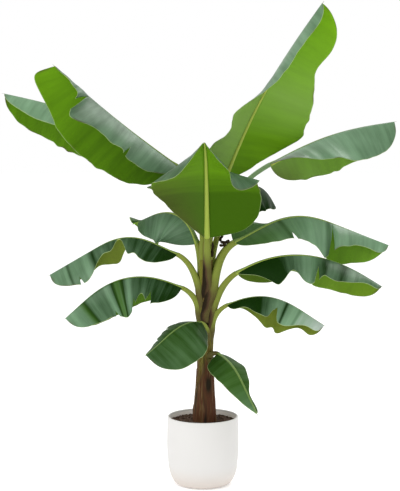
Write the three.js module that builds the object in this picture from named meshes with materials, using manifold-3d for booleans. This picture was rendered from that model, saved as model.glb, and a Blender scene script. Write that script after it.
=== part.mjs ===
// Potted banana plant: a round pot filled with soil, a flared pseudostem that leans a little,
// and leaves that each have a grooved petiole and a broad blade, torn here and there to its rib.
// Millimetres, +Z up, +Y away from the viewer, origin at the middle of the pot's flat underside.

import * as THREE from 'three';
import Module from 'manifold-3d';

const wasm = await Module();
wasm.setup();

// Clearance between pieces that touch on the real plant.
const GAP = 0.3;

// Pot and soil.
const POT_HEIGHT = 215;
const POT_BASE_RADIUS = 74;
const POT_BELLY_RADIUS = 112.5;
const POT_RIM_RADIUS = 110.5;
const POT_WALL = 5;
const POT_FLOOR = 8;
const POT_SIDES = 36;
const POT_ROWS = 9;
const SOIL_LEVEL = 195;

// Pseudostem: radius at the top, what the root flare adds, and how far up the flare reaches.
const STEM_TOP = 762;
const STEM_RADIUS = 22;
const FLARE = 16.5;
const FLARE_REACH = 150;
const STEM_FOOT_X = 4;
const STEM_LEAN = 6 / 555;
const STEM_SIDES = 20;
const STEM_ROWS = 10;

// Petioles: radius at the foot and where the blade starts. Outer ones sit against the stem at a share of
// its radius and run down it as a sheath; the youngest stand in a ring on the stem's top.
const PETIOLE_RADIUS = 15.5;
const CORE_RADIUS = 9.6;
const PETIOLE_END_RADIUS = 8.5;
const SHEATH_START_RADIUS = 7.5;
const OUTER_SEAT = 0.82;
const CORE_SEAT = 14.5;
const GROOVE_DEPTH = 0.3;
const GROOVE_WIDTH = 0.6;
const PETIOLE_SIDES = 10;
const PETIOLE_ROWS = 7;
const SHEATH_ROWS = 3;

// Blades: thickness as a share of the length, half width of the rib and depth of its keel.
const BLADE_THICKNESS = 1 / 92;
const RIB_HALF = 6.5;
const RIB_TAPER = 3.5;
const KEEL = 3;
const BLADE_STATIONS = 11;
const TIP_STATION = 0.965;
const NARROWEST = 3;
const VEIN_SLANT = 0.15;
const TEAR_SOFTNESS = 0.04;

const DEGREE = Math.PI / 180;

// A tear in a margin: its place along the blade, its depth as a share of the half blade's width,
// half the width of its gap along the blade, and how far the half blade turns beyond it.
function tear(place, depth, gap, turn = 0) {
  return { place, depth, gap, turn };
}

// A stretch of a half blade that is wider, narrower or further forward.
function swell(place, amount, reach) {
  return { place, amount, reach };
}

// One half of a blade. fold: its angle to the level at foot, middle and tip; taper: how fast its width
// grows from the foot and closes at the tip; share: its width as a share of the leaf's half width;
// slant: how far its veins run forward as they go out; leans: stretches where they run further forward.
function half(fold, taper, { share = 1, swells = [], tears = [], slant = VEIN_SLANT, leans = [] } = {}) {
  return { fold, taper, share, swells, tears, slant, leans };
}

// Leaves. seat: angle round the stem of the petiole's foot; from: height of that foot, where it isn't on
// the stem's top; sheath: how far it runs on down the stem. petiole and blade: lengths; width: half width.
// heading: compass of the leaf; sweep: how much it turns along the blade. rise: angle above the horizon at
// the petiole's foot, the blade's foot and the tip; bow: how late the petiole bends; bend: where along the
// blade its angle changes, and over what share of it. wave: depth, count and start of the ripples.
// split: where the blade bends over its highest point. Left and right are as seen looking out along it.
const LEAVES = [
  {
    name: 'leaf_top', seat: -45, petiole: 195, heading: -25, rise: [86, 66, 52],
    blade: 615, width: 165, wave: [8, 2.6, 0.1],
    left: half([-20, -52, -62], [0.6, 0.55], {
      share: 1.05, swells: [swell(0.28, 0.24, 0.1), swell(0.7, -0.35, 0.16)],
      leans: [swell(0.93, 0.04, 0.1)],
    }),
    right: half([20, -20, -55], [0.3, 0.55], {
      swells: [swell(0.37, 0.42, 0.08), swell(0.26, -0.2, 0.05), swell(0.75, -0.35, 0.25)],
    }),
  },
  {
    name: 'leaf_left_high', seat: 225, petiole: 260, bow: 2, heading: 205, rise: [88, 34, 40],
    blade: 488, width: 190, wave: [8, 3, 0],
    left: half([-50, -50, -50], [0.28, 0.3], {
      share: 0.68, swells: [swell(0.66, 0.5, 0.07), swell(0.9, -0.45, 0.13)],
      tears: [tear(0.33, 0.35, 0.02, 10), tear(0.72, 0.7, 0.03, 22)],
      slant: 0.4, leans: [swell(0.72, 0.3, 0.18)],
    }),
    right: half([-65, -65, -65], [0.22, 0.2], {
      share: 0.83, swells: [swell(1, -0.4, 0.25)], leans: [swell(0.98, 0.6, 0.13)],
    }),
  },
  {
    name: 'leaf_left_far', seat: 135, petiole: 250, bow: 2, heading: 172, rise: [88, 34, 12],
    blade: 600, width: 150, wave: [8, 3, 0],
    left: half([-30, -30, -40], [0.4, 0.6], { share: 0.78 }),
    right: half([-70, -70, -70], [0.4, 0.42], { share: 0.95, tears: [tear(0.2, 0.4, 0.03, 6)] }),
  },
  {
    name: 'leaf_right_high', seat: 45, petiole: 316, bow: 0.8, heading: 12, rise: [80, 28, 8],
    blade: 432, width: 125, wave: [6, 3, 0],
    left: half([-55, -62, -60], [0.3, 0.42], { share: 1.1 }),
    right: half([5, -38, -62], [0.45, 0.42], { share: 1.06 }),
  },
  {
    name: 'leaf_front', seat: -75, from: 632, sheath: 60, petiole: 150, heading: -91.5,
    rise: [87, 68, 8], blade: 510, width: 168, wave: [10, 3, 0], split: 0.42,
    left: half([0, -20, -60], [0.26, 0.9], { share: 0.95, swells: [swell(0.55, 0.28, 0.1)] }),
    right: half([-5, -24, -52], [0.85, 0.6], { share: 1.1 }),
  },
  {
    name: 'leaf_back', seat: 95, from: 660, sheath: 60, petiole: 190, heading: 97,
    rise: [86, 62, -32], blade: 470, width: 125, wave: [8, 3, 0.2], split: 0.45,
    left: half([-20, -45, -60], [0.38, 0.5], { tears: [tear(0.5, 0.6, 0.03, 8)] }),
    right: half([-20, -45, -60], [0.38, 0.5], { tears: [tear(0.65, 0.5, 0.03)] }),
  },
  {
    name: 'leaf_back_right', seat: 45, from: 640, sheath: 60, petiole: 240, heading: 50,
    rise: [86, 48, -50], blade: 298, width: 94, wave: [6, 3, 0], split: 0.5,
    left: half([-60, -60, -60], [0.38, 0.6], { tears: [tear(0.4, 0.4, 0.03)] }),
    right: half([-60, -60, -60], [0.38, 0.6]),
  },
  {
    name: 'leaf_back_left', seat: 115, from: 650, sheath: 60, petiole: 105, heading: 147,
    rise: [89, 70, -22], bend: [0.38, 0.85], blade: 298, width: 112, wave: [6, 3, 0], split: 0.4,
    left: half([-60, -65, -50], [0.35, 0.6]),
    right: half([-60, -60, -60], [0.35, 0.6], { tears: [tear(0.5, 0.4, 0.04)] }),
  },
  {
    name: 'leaf_right_upper', seat: -25, from: 612, sheath: 40, petiole: 170, bow: 2.5, heading: 12,
    rise: [78, 27, -21], bend: [0.4, 0.5], blade: 538, width: 125, wave: [6, 4, 0], split: 0.42,
    left: half([55, -65, -82], [0.45, 0.55], {
      share: 1.12, swells: [swell(0.47, -0.65, 0.15)], tears: [tear(0.65, 0.5, 0.02)],
      leans: [swell(0.95, 0.1, 0.1)],
    }),
    right: half([-30, -48, -90], [0.45, 0.42], {
      share: 0.85, swells: [swell(0.58, 0.35, 0.07), swell(0.85, -0.45, 0.15)],
      tears: [tear(0.31, 0.3, 0.02), tear(0.62, 0.75, 0.03, 24)],
    }),
  },
  {
    name: 'leaf_left_upper', seat: 190, from: 618, sheath: 40, petiole: 130, bow: 2, heading: 178,
    rise: [72, 25, -30], bend: [0.38, 0.5], blade: 437, width: 105, wave: [6, 4, 0], split: 0.38,
    left: half([-40, -55, -46], [0.4, 0.3], {
      swells: [swell(0.3, -0.4, 0.08), swell(0.58, -0.7, 0.12)],
      tears: [tear(0.44, 0.95, 0.07), tear(0.8, 0.3, 0.02, 6)],
    }),
    right: half([-60, -75, -70], [0.4, 0.4], {
      share: 0.8, swells: [swell(0.33, -0.75, 0.1), swell(0.66, -0.3, 0.1)],
    }),
  },
  {
    name: 'leaf_right_middle', seat: -5, from: 548, sheath: 40, petiole: 143, bow: 1.8, heading: -5,
    rise: [80, 41.5, -32], bend: [0.36, 1.3], blade: 480, width: 115, wave: [6, 4, 0], split: 0.42,
    left: half([-80, -76, -82], [0.35, 0.35], { share: 0.85, swells: [swell(0.36, -0.45, 0.12)] }),
    right: half([-60, -60, -60], [0.7, 0.35], {
      share: 0.87, swells: [swell(0.22, 0.45, 0.08), swell(0.92, -0.6, 0.1)],
      tears: [tear(0.38, 0.4, 0.06), tear(0.56, 0.6, 0.02, 36)],
    }),
  },
  {
    name: 'leaf_left_middle', seat: 172, from: 550, sheath: 40, petiole: 92, heading: 184,
    rise: [80, 24, -42], bend: [0.42, 0.9], blade: 407, width: 120, wave: [6, 4, 0], split: 0.44,
    left: half([-50, -65, -70], [0.3, 0.35], {
      share: 0.85, swells: [swell(0.48, 0.2, 0.12)],
      tears: [tear(0.22, 0.4, 0.03), tear(0.31, 0.45, 0.05), tear(0.62, 0.2, 0.03)],
    }),
    right: half([-70, -75, -75], [0.5, 0.4], { share: 0.9, tears: [tear(0.45, 0.35, 0.03)] }),
  },
  {
    name: 'leaf_right_lower', seat: -12, from: 496, sheath: 40, petiole: 92, heading: -12,
    rise: [84, 25, -32], bend: [0.38, 0.85], blade: 326, width: 92, wave: [6, 4, 0], split: 0.36,
    left: half([-80, -80, -80], [0.35, 0.35], {
      share: 1.05,
      swells: [
        swell(0.08, -0.6, 0.12), swell(0.34, 0.1, 0.1),
        swell(0.6, 0.15, 0.08), swell(0.82, -0.35, 0.1),
      ],
    }),
    right: half([-45, -45, -45], [0.45, 0.35], {
      share: 0.85, swells: [swell(0.15, -0.4, 0.1), swell(0.87, -0.45, 0.14)],
      tears: [tear(0.51, 0.6, 0.04, -8)],
    }),
  },
  {
    name: 'leaf_low_left', seat: -80, from: 485, sheath: 40, petiole: 55, heading: -118, sweep: -45,
    rise: [66, 12, -37], bend: [0.35, 0.8], blade: 242, width: 105, wave: [4, 3, 0], split: 0.38,
    left: half([-45, -40, -40], [0.45, 0.3], { share: 1.15 }),
    right: half([-5, -12, -10], [0.35, 0.38], {
      share: 0.58, tears: [tear(0.45, 0.35, 0.04), tear(0.72, 0.4, 0.04)],
    }),
  },
  {
    name: 'leaf_low_right', seat: -52, from: 406, sheath: 40, petiole: 50, heading: -50,
    rise: [48, -12, -52], bend: [0.25, 0.7], blade: 240, width: 80, wave: [4, 3, 0], split: 0.34,
    left: half([-15, -10, -20], [0.38, 0.6], { share: 0.55, swells: [swell(0.75, -0.8, 0.2)] }),
    right: half([-30, -30, -30], [0.22, 0.85], { share: 0.82 }),
  },
];

const WHITE = new THREE.MeshStandardMaterial({ color: 0xe9e6e2, roughness: 0.75, metalness: 0 });
const EARTH = new THREE.MeshStandardMaterial({ color: 0x3a2a20, roughness: 0.95, metalness: 0 });
const STEM = new THREE.MeshStandardMaterial({ color: 0x7a5a35, roughness: 0.7, metalness: 0 });
const STALK = new THREE.MeshStandardMaterial({ color: 0x93a04a, roughness: 0.55, metalness: 0 });
const LEAF = new THREE.MeshStandardMaterial({ color: 0x3f6f45, roughness: 0.45, metalness: 0 });

function ease(value) {
  return THREE.MathUtils.smoothstep(value, 0, 1);
}

function bump(x, place, reach) {
  return Math.exp(-(((x - place) / reach) ** 2));
}

// A value that passes three named values at 0, 1/2 and 1.
function through([first, middle, last], x) {
  return first * (1 - x) * (1 - 2 * x) + middle * 4 * x * (1 - x) + last * x * (2 * x - 1);
}

function stemCentre(z) {
  return new THREE.Vector3(STEM_FOOT_X + STEM_LEAN * (z - SOIL_LEVEL), 0, z);
}

function stemRadius(z) {
  return STEM_RADIUS + FLARE * Math.exp(-(((z - SOIL_LEVEL) / FLARE_REACH) ** 1.5));
}

function indexed(points, faces) {
  const geometry = new THREE.BufferGeometry().setFromPoints(points);
  geometry.setIndex(faces);
  return geometry;
}

// Closed skin over rings of points that run anticlockwise seen from the last ring, with a fan on each end.
function skin(rings) {
  const sides = rings[0].length;
  const last = (rings.length - 1) * sides;
  const points = rings.flat();
  const middles = [rings[0], rings.at(-1)].map((ring) => {
    const sum = ring.reduce((total, point) => total.add(point), new THREE.Vector3());
    return points.push(sum.divideScalar(sides)) - 1;
  });
  const faces = [];
  for (let k = 0; k < sides; k += 1) {
    const next = (k + 1) % sides;
    faces.push(next, k, middles[0], last + k, last + next, middles[1]);
    for (let start = 0; start < last; start += sides) {
      const [a, b, c, d] = [start + k, start + next, start + sides + next, start + sides + k];
      faces.push(a, b, c, a, c, d);
    }
  }
  return indexed(points, faces);
}

// Closed plate between an upper and a lower grid of points, with one row for each station.
function plate(upper, lower) {
  const rows = upper.length;
  const across = upper[0].length;
  const points = [...upper.flat(), ...lower.flat()];
  const top = (row, k) => row * across + k;
  const under = (row, k) => rows * across + top(row, k);
  const faces = [];
  const quad = (a, b, c, d) => faces.push(a, b, c, a, c, d);
  for (let row = 0; row + 1 < rows; row += 1) {
    for (let k = 0; k + 1 < across; k += 1) {
      quad(top(row, k), top(row + 1, k), top(row + 1, k + 1), top(row, k + 1));
      quad(under(row, k), under(row, k + 1), under(row + 1, k + 1), under(row + 1, k));
    }
    const edge = across - 1;
    quad(top(row, 0), under(row, 0), under(row + 1, 0), top(row + 1, 0));
    quad(top(row, edge), top(row + 1, edge), under(row + 1, edge), under(row, edge));
  }
  const end = rows - 1;
  for (let k = 0; k + 1 < across; k += 1) {
    quad(top(0, k), top(0, k + 1), under(0, k + 1), under(0, k));
    quad(top(end, k), under(end, k), under(end, k + 1), top(end, k + 1));
  }
  return indexed(points, faces);
}

function toSolid(geometry) {
  return new wasm.Manifold(new wasm.Mesh({
    numProp: 3,
    vertProperties: new Float32Array(geometry.getAttribute('position').array),
    triVerts: new Uint32Array(geometry.getIndex().array),
  }));
}

function toGeometry(solid) {
  const mesh = solid.getMesh();
  const geometry = new THREE.BufferGeometry();
  geometry.setAttribute('position', new THREE.BufferAttribute(mesh.vertProperties, 3));
  geometry.setIndex(new THREE.BufferAttribute(mesh.triVerts, 1));
  return geometry;
}

// What is left of a solid once its neighbours are cut away: the largest piece.
function carve(solid, neighbours) {
  const rest = neighbours.reduce((left, neighbour) => left.subtract(neighbour), solid);
  return rest.decompose().reduce((best, piece) => (piece.volume() > best.volume() ? piece : best));
}

// The bent line of a leaf, from the petiole's foot to the tip of the rib.
class Limb {
  constructor(leaf) {
    this.leaf = { bow: 1, sweep: 0, bend: [0.5, 1], sheath: 0, ...leaf };
    this.core = leaf.from === undefined;
    const foot = this.core ? STEM_TOP + GAP : leaf.from;
    const turn = leaf.seat * DEGREE;
    this.side = new THREE.Vector3(Math.cos(turn), Math.sin(turn), 0);
    const start = stemCentre(foot).addScaledVector(this.side, this.core ? CORE_SEAT : this.seatReach(foot));
    this.petiole = this.trace(start, leaf.petiole, (x) => this.frame(x, 0).forward);
    this.rib = this.trace(this.petiole.at(-1), leaf.blade, (x) => this.frame(1, x).forward);
  }

  seatReach(z) {
    return OUTER_SEAT * stemRadius(z);
  }

  trace(start, length, direction) {
    const steps = 120;
    const points = [start];
    for (let k = 0; k < steps; k += 1) {
      points.push(points[k].clone().addScaledVector(direction((k + 0.5) / steps), length / steps));
    }
    return points;
  }

  pointOn(line, x) {
    const place = THREE.MathUtils.clamp(x, 0, 1) * (line.length - 1);
    const k = Math.min(line.length - 2, Math.floor(place));
    return line[k].clone().lerp(line[k + 1], place - k);
  }

  // Direction, level side to the left, and upper side at a place along the petiole and out on the blade.
  frame(along, out) {
    const { rise, bow, bend, heading, sweep } = this.leaf;
    const [at, over] = bend;
    const bent = (rise[2] - rise[1]) * ease((out - at) / over + 0.5);
    const lift = (rise[0] + (rise[1] - rise[0]) * along ** bow + bent) * DEGREE;
    const turn = (heading + sweep * out) * DEGREE;
    const level = new THREE.Vector3(Math.cos(turn), Math.sin(turn), 0);
    const forward = level.multiplyScalar(Math.cos(lift)).setZ(Math.sin(lift));
    const left = new THREE.Vector3(-Math.sin(turn), Math.cos(turn), 0);
    return { forward, left, up: new THREE.Vector3().crossVectors(forward, left) };
  }
}

// One ring round a petiole, with the groove on its upper side.
function grooved(centre, forward, upward, radius, extra) {
  const across = new THREE.Vector3().crossVectors(upward, forward).normalize();
  const up = new THREE.Vector3().crossVectors(forward, across).normalize();
  const points = [];
  for (let k = 0; k < PETIOLE_SIDES; k += 1) {
    const turn = (k / PETIOLE_SIDES) * 2 * Math.PI;
    const fromTop = Math.acos(THREE.MathUtils.clamp(Math.sin(turn), -1, 1));
    const reach = radius * (1 - GROOVE_DEPTH * bump(fromTop, 0, GROOVE_WIDTH)) + extra;
    const point = centre.clone().addScaledVector(across, Math.cos(turn) * reach);
    points.push(point.addScaledVector(up, Math.sin(turn) * reach));
  }
  return points;
}

// Petiole: a tapering stalk, carried down the stem as a sheath. Its upper side turns from facing the stem.
function petioleSkin(limb, extra) {
  const { leaf } = limb;
  const inward = limb.side.clone().negate();
  const rings = [];
  for (let row = 0; row < SHEATH_ROWS && leaf.sheath > 0; row += 1) {
    const share = row / SHEATH_ROWS;
    const z = leaf.from - leaf.sheath * (1 - share);
    const centre = stemCentre(z).addScaledVector(limb.side, limb.seatReach(z));
    const radius = THREE.MathUtils.lerp(SHEATH_START_RADIUS, PETIOLE_RADIUS, share);
    rings.push(grooved(centre, new THREE.Vector3(0, 0, 1), inward, radius, extra));
  }
  const startRadius = limb.core ? CORE_RADIUS : PETIOLE_RADIUS;
  const girth = Math.min(1, 0.45 + leaf.blade / 900);
  for (let row = 0; row <= PETIOLE_ROWS; row += 1) {
    const x = row / PETIOLE_ROWS;
    const { forward, up } = limb.frame(x, 0);
    const upward = limb.core ? up : inward.clone().lerp(up, ease(x * 4));
    const radius = THREE.MathUtils.lerp(startRadius, PETIOLE_END_RADIUS, x ** 0.8) * girth;
    rings.push(grooved(limb.pointOn(limb.petiole, x), forward, upward, radius, extra));
  }
  return skin(rings);
}

// Width of one half of a blade, cut in at its tears.
function halfWidth(leaf, side, x) {
  const [foot, tip] = side.taper;
  const widest = foot / (foot + tip);
  const plain = leaf.width * side.share * (x / widest) ** foot * ((1 - x) / (1 - widest)) ** tip;
  const swollen = side.swells.reduce((w, s) => w * (1 + s.amount * bump(x, s.place, s.reach)), plain);
  const torn = side.tears.reduce((w, t) => w * (1 - t.depth * bump(x, t.place, t.gap)), swollen);
  return Math.max(NARROWEST, torn);
}

// Angle of one half of a blade to the level, turned on beyond each tear.
function halfFold(side, x) {
  const turned = side.tears.reduce((sum, t) => sum + t.turn * ease((x - t.place) / TEAR_SOFTNESS + 0.5), 0);
  return (through(side.fold, x) + turned) * DEGREE;
}

// A point of one half blade's middle surface, and the normal there. share: 0 at the rib, 1 at the margin.
function bladePoint(limb, x, sign, share) {
  const { leaf } = limb;
  const side = sign > 0 ? leaf.left : leaf.right;
  const { forward, left, up } = limb.frame(1, x);
  const [depth, count, phase] = leaf.wave;
  const out = left.multiplyScalar(sign);
  const fold = halfFold(side, x);
  const along = out.clone().multiplyScalar(Math.cos(fold)).addScaledVector(up, Math.sin(fold));
  const normal = up.clone().multiplyScalar(Math.cos(fold)).addScaledVector(out, -Math.sin(fold));
  const width = halfWidth(leaf, side, x) * share;
  const swing = Math.sin(2 * Math.PI * (count * x + phase + (sign > 0 ? 0.37 : 0)));
  const point = limb.pointOn(limb.rib, x).addScaledVector(out, RIB_HALF - RIB_TAPER * x);
  point.addScaledVector(along, width);
  point.addScaledVector(normal, (depth * share * share * width * swing) / leaf.width);
  const extra = side.leans.reduce((sum, s) => sum + s.amount * bump(x, s.place, s.reach), 0);
  point.addScaledVector(forward, (side.slant * (1 - x) + extra) * width);
  return { point, normal };
}

// Upper and lower points across the blade at one station, from its right margin to its left one.
function station(limb, x) {
  const thick = (limb.leaf.blade * BLADE_THICKNESS) / 2;
  const rib = { point: limb.pointOn(limb.rib, x), normal: limb.frame(1, x).up };
  const right = [1, 0.5, 0.04].map((share) => bladePoint(limb, x, -1, share));
  const left = [0.04, 0.5, 1].map((share) => bladePoint(limb, x, 1, share));
  const row = [...right, rib, ...left];
  const keel = (place) => (place === rib ? KEEL * (1 - 0.6 * x) : 0);
  return {
    upper: row.map((place) => place.point.clone().addScaledVector(place.normal, thick)),
    lower: row.map((place) => place.point.clone().addScaledVector(place.normal, -thick - keel(place))),
  };
}

// Stations along a blade: even ones, and the two lips and the foot of each tear.
function stations(leaf, from, to) {
  const closest = 0.012;
  const even = [TIP_STATION];
  for (let k = 0; k <= BLADE_STATIONS; k += 1) {
    even.push(k / BLADE_STATIONS);
  }
  const tears = [...leaf.left.tears, ...leaf.right.tears];
  const torn = tears.flatMap(({ place, gap }) => [place - 1.6 * gap, place, place + 1.6 * gap]);
  const inside = [...even, ...torn].filter((x) => x > from + closest && x < to - closest);
  const kept = [from];
  for (const x of inside.sort((a, b) => a - b)) {
    if (x - kept.at(-1) >= closest || torn.includes(x)) {
      kept.push(x);
    }
  }
  return [...kept, to];
}

function bladeGeometry(limb, from, to) {
  const rows = stations(limb.leaf, from, to).map((x) => station(limb, x));
  return plate(rows.map((row) => row.upper), rows.map((row) => row.lower));
}

// Pot wall from the edge of the flat base up to the rim, swept in to the base.
function potWall() {
  return new THREE.SplineCurve([
    new THREE.Vector2(POT_BASE_RADIUS, 0),
    new THREE.Vector2(POT_BASE_RADIUS + 16, 9),
    new THREE.Vector2(POT_BELLY_RADIUS - 8, 40),
    new THREE.Vector2(POT_BELLY_RADIUS - 1.5, 90),
    new THREE.Vector2(POT_BELLY_RADIUS, 140),
    new THREE.Vector2(POT_RIM_RADIUS, POT_HEIGHT),
  ]).getPoints(POT_ROWS);
}

// The same wall set in by the pot's thickness or more, from the axis out and up.
function insetWall(inset) {
  const floor = POT_FLOOR + inset - POT_WALL;
  const wall = potWall().filter((point) => point.y > floor + 4);
  wall.forEach((point) => point.setX(point.x - inset));
  return [new THREE.Vector2(0, floor), new THREE.Vector2(wall[0].x - 6, floor), ...wall];
}

function turned(profile) {
  return new THREE.LatheGeometry(profile, POT_SIDES).rotateX(Math.PI / 2);
}

// Pseudostem, cut flat at soil level.
function stemSkin(extra) {
  const rings = [];
  for (let row = 0; row <= STEM_ROWS; row += 1) {
    const z = THREE.MathUtils.lerp(SOIL_LEVEL + GAP, STEM_TOP, (row / STEM_ROWS) ** 1.2);
    const reach = stemRadius(z) + extra;
    const points = [];
    for (let k = 0; k < STEM_SIDES; k += 1) {
      const turn = (k / STEM_SIDES) * 2 * Math.PI;
      points.push(stemCentre(z).add(new THREE.Vector3(reach * Math.cos(turn), reach * Math.sin(turn), 0)));
    }
    rings.push(points);
  }
  return skin(rings);
}

const plant = new THREE.Group();

function place(name, geometry, material) {
  const piece = new THREE.Mesh(geometry, material.clone());
  piece.name = name;
  plant.add(piece);
}

place('pot', turned([new THREE.Vector2(0, 0), ...potWall(), ...insetWall(POT_WALL).reverse()]), WHITE);

const soilWall = insetWall(POT_WALL + GAP).filter((point) => point.y < SOIL_LEVEL - 8);
const soilEdge = new THREE.Vector2(POT_BELLY_RADIUS - POT_WALL - 2, SOIL_LEVEL);
place('soil', turned([...soilWall, soilEdge, new THREE.Vector2(0, SOIL_LEVEL)]), EARTH);

place('pseudostem', stemSkin(0), STEM);

const taken = [toSolid(stemSkin(GAP))];
for (const leaf of LEAVES) {
  const limb = new Limb(leaf);
  const start = GAP / leaf.blade;
  place(`${leaf.name}_petiole`, toGeometry(carve(toSolid(petioleSkin(limb, 0)), taken)), STALK);
  taken.push(toSolid(petioleSkin(limb, GAP)));
  if (leaf.split) {
    place(`${leaf.name}_inner`, bladeGeometry(limb, start, leaf.split - start), LEAF);
    place(`${leaf.name}_outer`, bladeGeometry(limb, leaf.split + start, 1), LEAF);
  } else {
    place(`${leaf.name}_blade`, bladeGeometry(limb, start, 1), LEAF);
  }
}

export default plant;
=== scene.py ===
"""Looks of a potted banana plant: pot, soil, sheathed stem, petioles and torn leaves, on a plain stage."""

import math
from dataclasses import dataclass

import bpy
import numpy as np
from bpy.props import FloatProperty, FloatVectorProperty, IntProperty, PointerProperty
from bpy.types import Operator, Panel, PropertyGroup
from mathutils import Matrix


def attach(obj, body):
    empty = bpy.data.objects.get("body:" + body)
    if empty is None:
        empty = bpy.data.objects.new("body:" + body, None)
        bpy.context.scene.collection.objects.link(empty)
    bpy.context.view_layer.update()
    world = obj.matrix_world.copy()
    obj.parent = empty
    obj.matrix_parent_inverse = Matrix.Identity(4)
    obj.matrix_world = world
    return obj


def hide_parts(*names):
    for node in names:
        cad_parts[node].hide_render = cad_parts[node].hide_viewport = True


bl_info = {
    "name": "Potted banana plant",
    "version": (1, 0, 0),
    "blender": (4, 5, 0),
    "location": "3D View > Sidebar > Banana plant",
    "description": "Builds a potted banana plant around its packed solids",
    "category": "Object",
}

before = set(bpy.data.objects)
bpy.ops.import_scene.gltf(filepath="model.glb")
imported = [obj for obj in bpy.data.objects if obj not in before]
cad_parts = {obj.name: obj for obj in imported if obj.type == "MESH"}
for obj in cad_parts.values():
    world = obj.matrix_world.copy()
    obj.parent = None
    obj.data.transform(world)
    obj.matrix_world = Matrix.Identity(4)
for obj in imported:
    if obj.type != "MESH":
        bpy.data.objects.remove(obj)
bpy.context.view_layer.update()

MM = 0.001
FULL_TURN = 2 * math.pi
BODY = "root"

# Pot and soil, in millimetres, as the solids have them.
POT_WALL_POINTS = ((74, 0), (90, 9), (104.5, 40), (111, 90), (112.5, 140), (110.5, 215))
POT_THICKNESS = 5
POT_FLOOR = 8
SOIL_LEVEL = 195
SOIL_RADIUS = 105.5

# Pseudostem, in millimetres: radius at the top, what the flare adds at the soil, and the lean.
STEM_TOP = 762
STEM_RADIUS = 22
FLARE = 16.5
FLARE_REACH = 150
STEM_FOOT_X = 4
STEM_LEAN = 6 / 555

# Petioles and ribs: radii in millimetres, seat as a share of the stem's radius or on its top, and girth.
PETIOLE_RADIUS = 16.5
CORE_RADIUS = 10
PETIOLE_END_RADIUS = 9
RIB_RADIUS = 7.5
RIB_HALF = 6.5
RIB_TAPER = 3.5
OUTER_SEAT = 0.82
CORE_SEAT = 14.5
LEAST_GIRTH = 0.45
GIRTH_PER_BLADE = 1 / 900

# Blades: least half width in millimetres, slant of the veins, roll in degrees, and start under the rib.
NARROWEST = 3
VEIN_SLANT = 0.15
MARGIN_ROLL = 12
BLADE_START = 0.8


# Leaf shapes: the same rule as the solids follow, with finer tears and with tones for each half.

@dataclass
class Tear:
    """A tear in a margin: place along the blade, depth as a share of the width, half gap, and turn beyond."""

    place: float
    depth: float
    gap: float
    turn: float = 0.0


@dataclass
class Stretch:
    """A stretch of a half blade, and how much it adds there to a width, an angle or a tone."""

    place: float
    amount: float
    reach: float


@dataclass
class Half:
    """One half of a blade: its shape, and its tones at even steps from foot to tip.

    Fold is its angle to the level at foot, middle and tip. Taper says how fast its width grows from the
    foot and closes at the tip, and share is its part of the leaf's half width. Swells widen or narrow it,
    droops add to its fold toward the margin, and slant and leans run its veins toward the tip.
    On the upper face, bloom is bluish wax with a painted sheen, painted shade where it is low
    and a painted highlight where it is highest; streaks add painted stripes of sheen and shade along
    the pleats, and fresh is bright green. On the underside, glow is painted light through the leaf, with
    painted shade where it is low; frost is pale wax and olive is yellowing. Stain browns both faces.
    """

    fold: tuple
    taper: tuple
    share: float = 1.0
    swells: tuple = ()
    tears: tuple = ()
    droops: tuple = ()
    leans: tuple = ()
    slant: float = VEIN_SLANT
    bloom: tuple = (0.3, 0.45, 0.4)
    streaks: tuple = ()
    fresh: tuple = ()
    glow: tuple = (0.3, 0.35, 0.4)
    frost: tuple = (0.1, 0.1, 0.1)
    olive: tuple = (0, 0, 0)
    stain: tuple = (0, 0, 0)


@dataclass
class Scrap:
    """A dried strip on a petiole: place along it, root beside it, length, slope, curl and half width."""

    place: float
    root: tuple
    length: float
    slope: float
    curl: float
    half_width: float


@dataclass
class Leaf:
    """One leaf: its seat on the stem, how its line bends, and its two half blades. Lengths in millimetres.

    Start is the height of the petiole's foot, where that isn't on the stem's top, and sheath adds to its run
    down the stem from there. Heading is the leaf's direction from above, which sweep turns along the blade.
    Rise is its slope at the petiole's foot, at its end and beyond the bend. Bow shapes the petiole's curve,
    and bend says where along the blade it bends over and on how much of it. Wave is the depth, the count and
    the phase of the long waves. Aged is how far up the petiole browning goes, seam the angle of a dark line
    on it, waxy its bluish wax with a painted sheen, and stout its girth.
    """

    name: str
    seat: float
    petiole: float
    heading: float
    rise: tuple
    blade: float
    width: float
    wave: tuple
    left: Half
    right: Half
    start: float = None
    sheath: float = 0.0
    bow: float = 1.0
    sweep: float = 0.0
    bend: tuple = (0.5, 1.0)
    aged: float = 0.3
    seam: float = None
    wax_sheen: float = 0.0
    stout: float = 1.0
    scraps: tuple = ()

    def nodes(self):
        """Names of the solids that make up the blade."""
        names = [f"{self.name}_{part}" for part in ("blade", "inner", "outer")]
        return [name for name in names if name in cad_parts]


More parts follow.
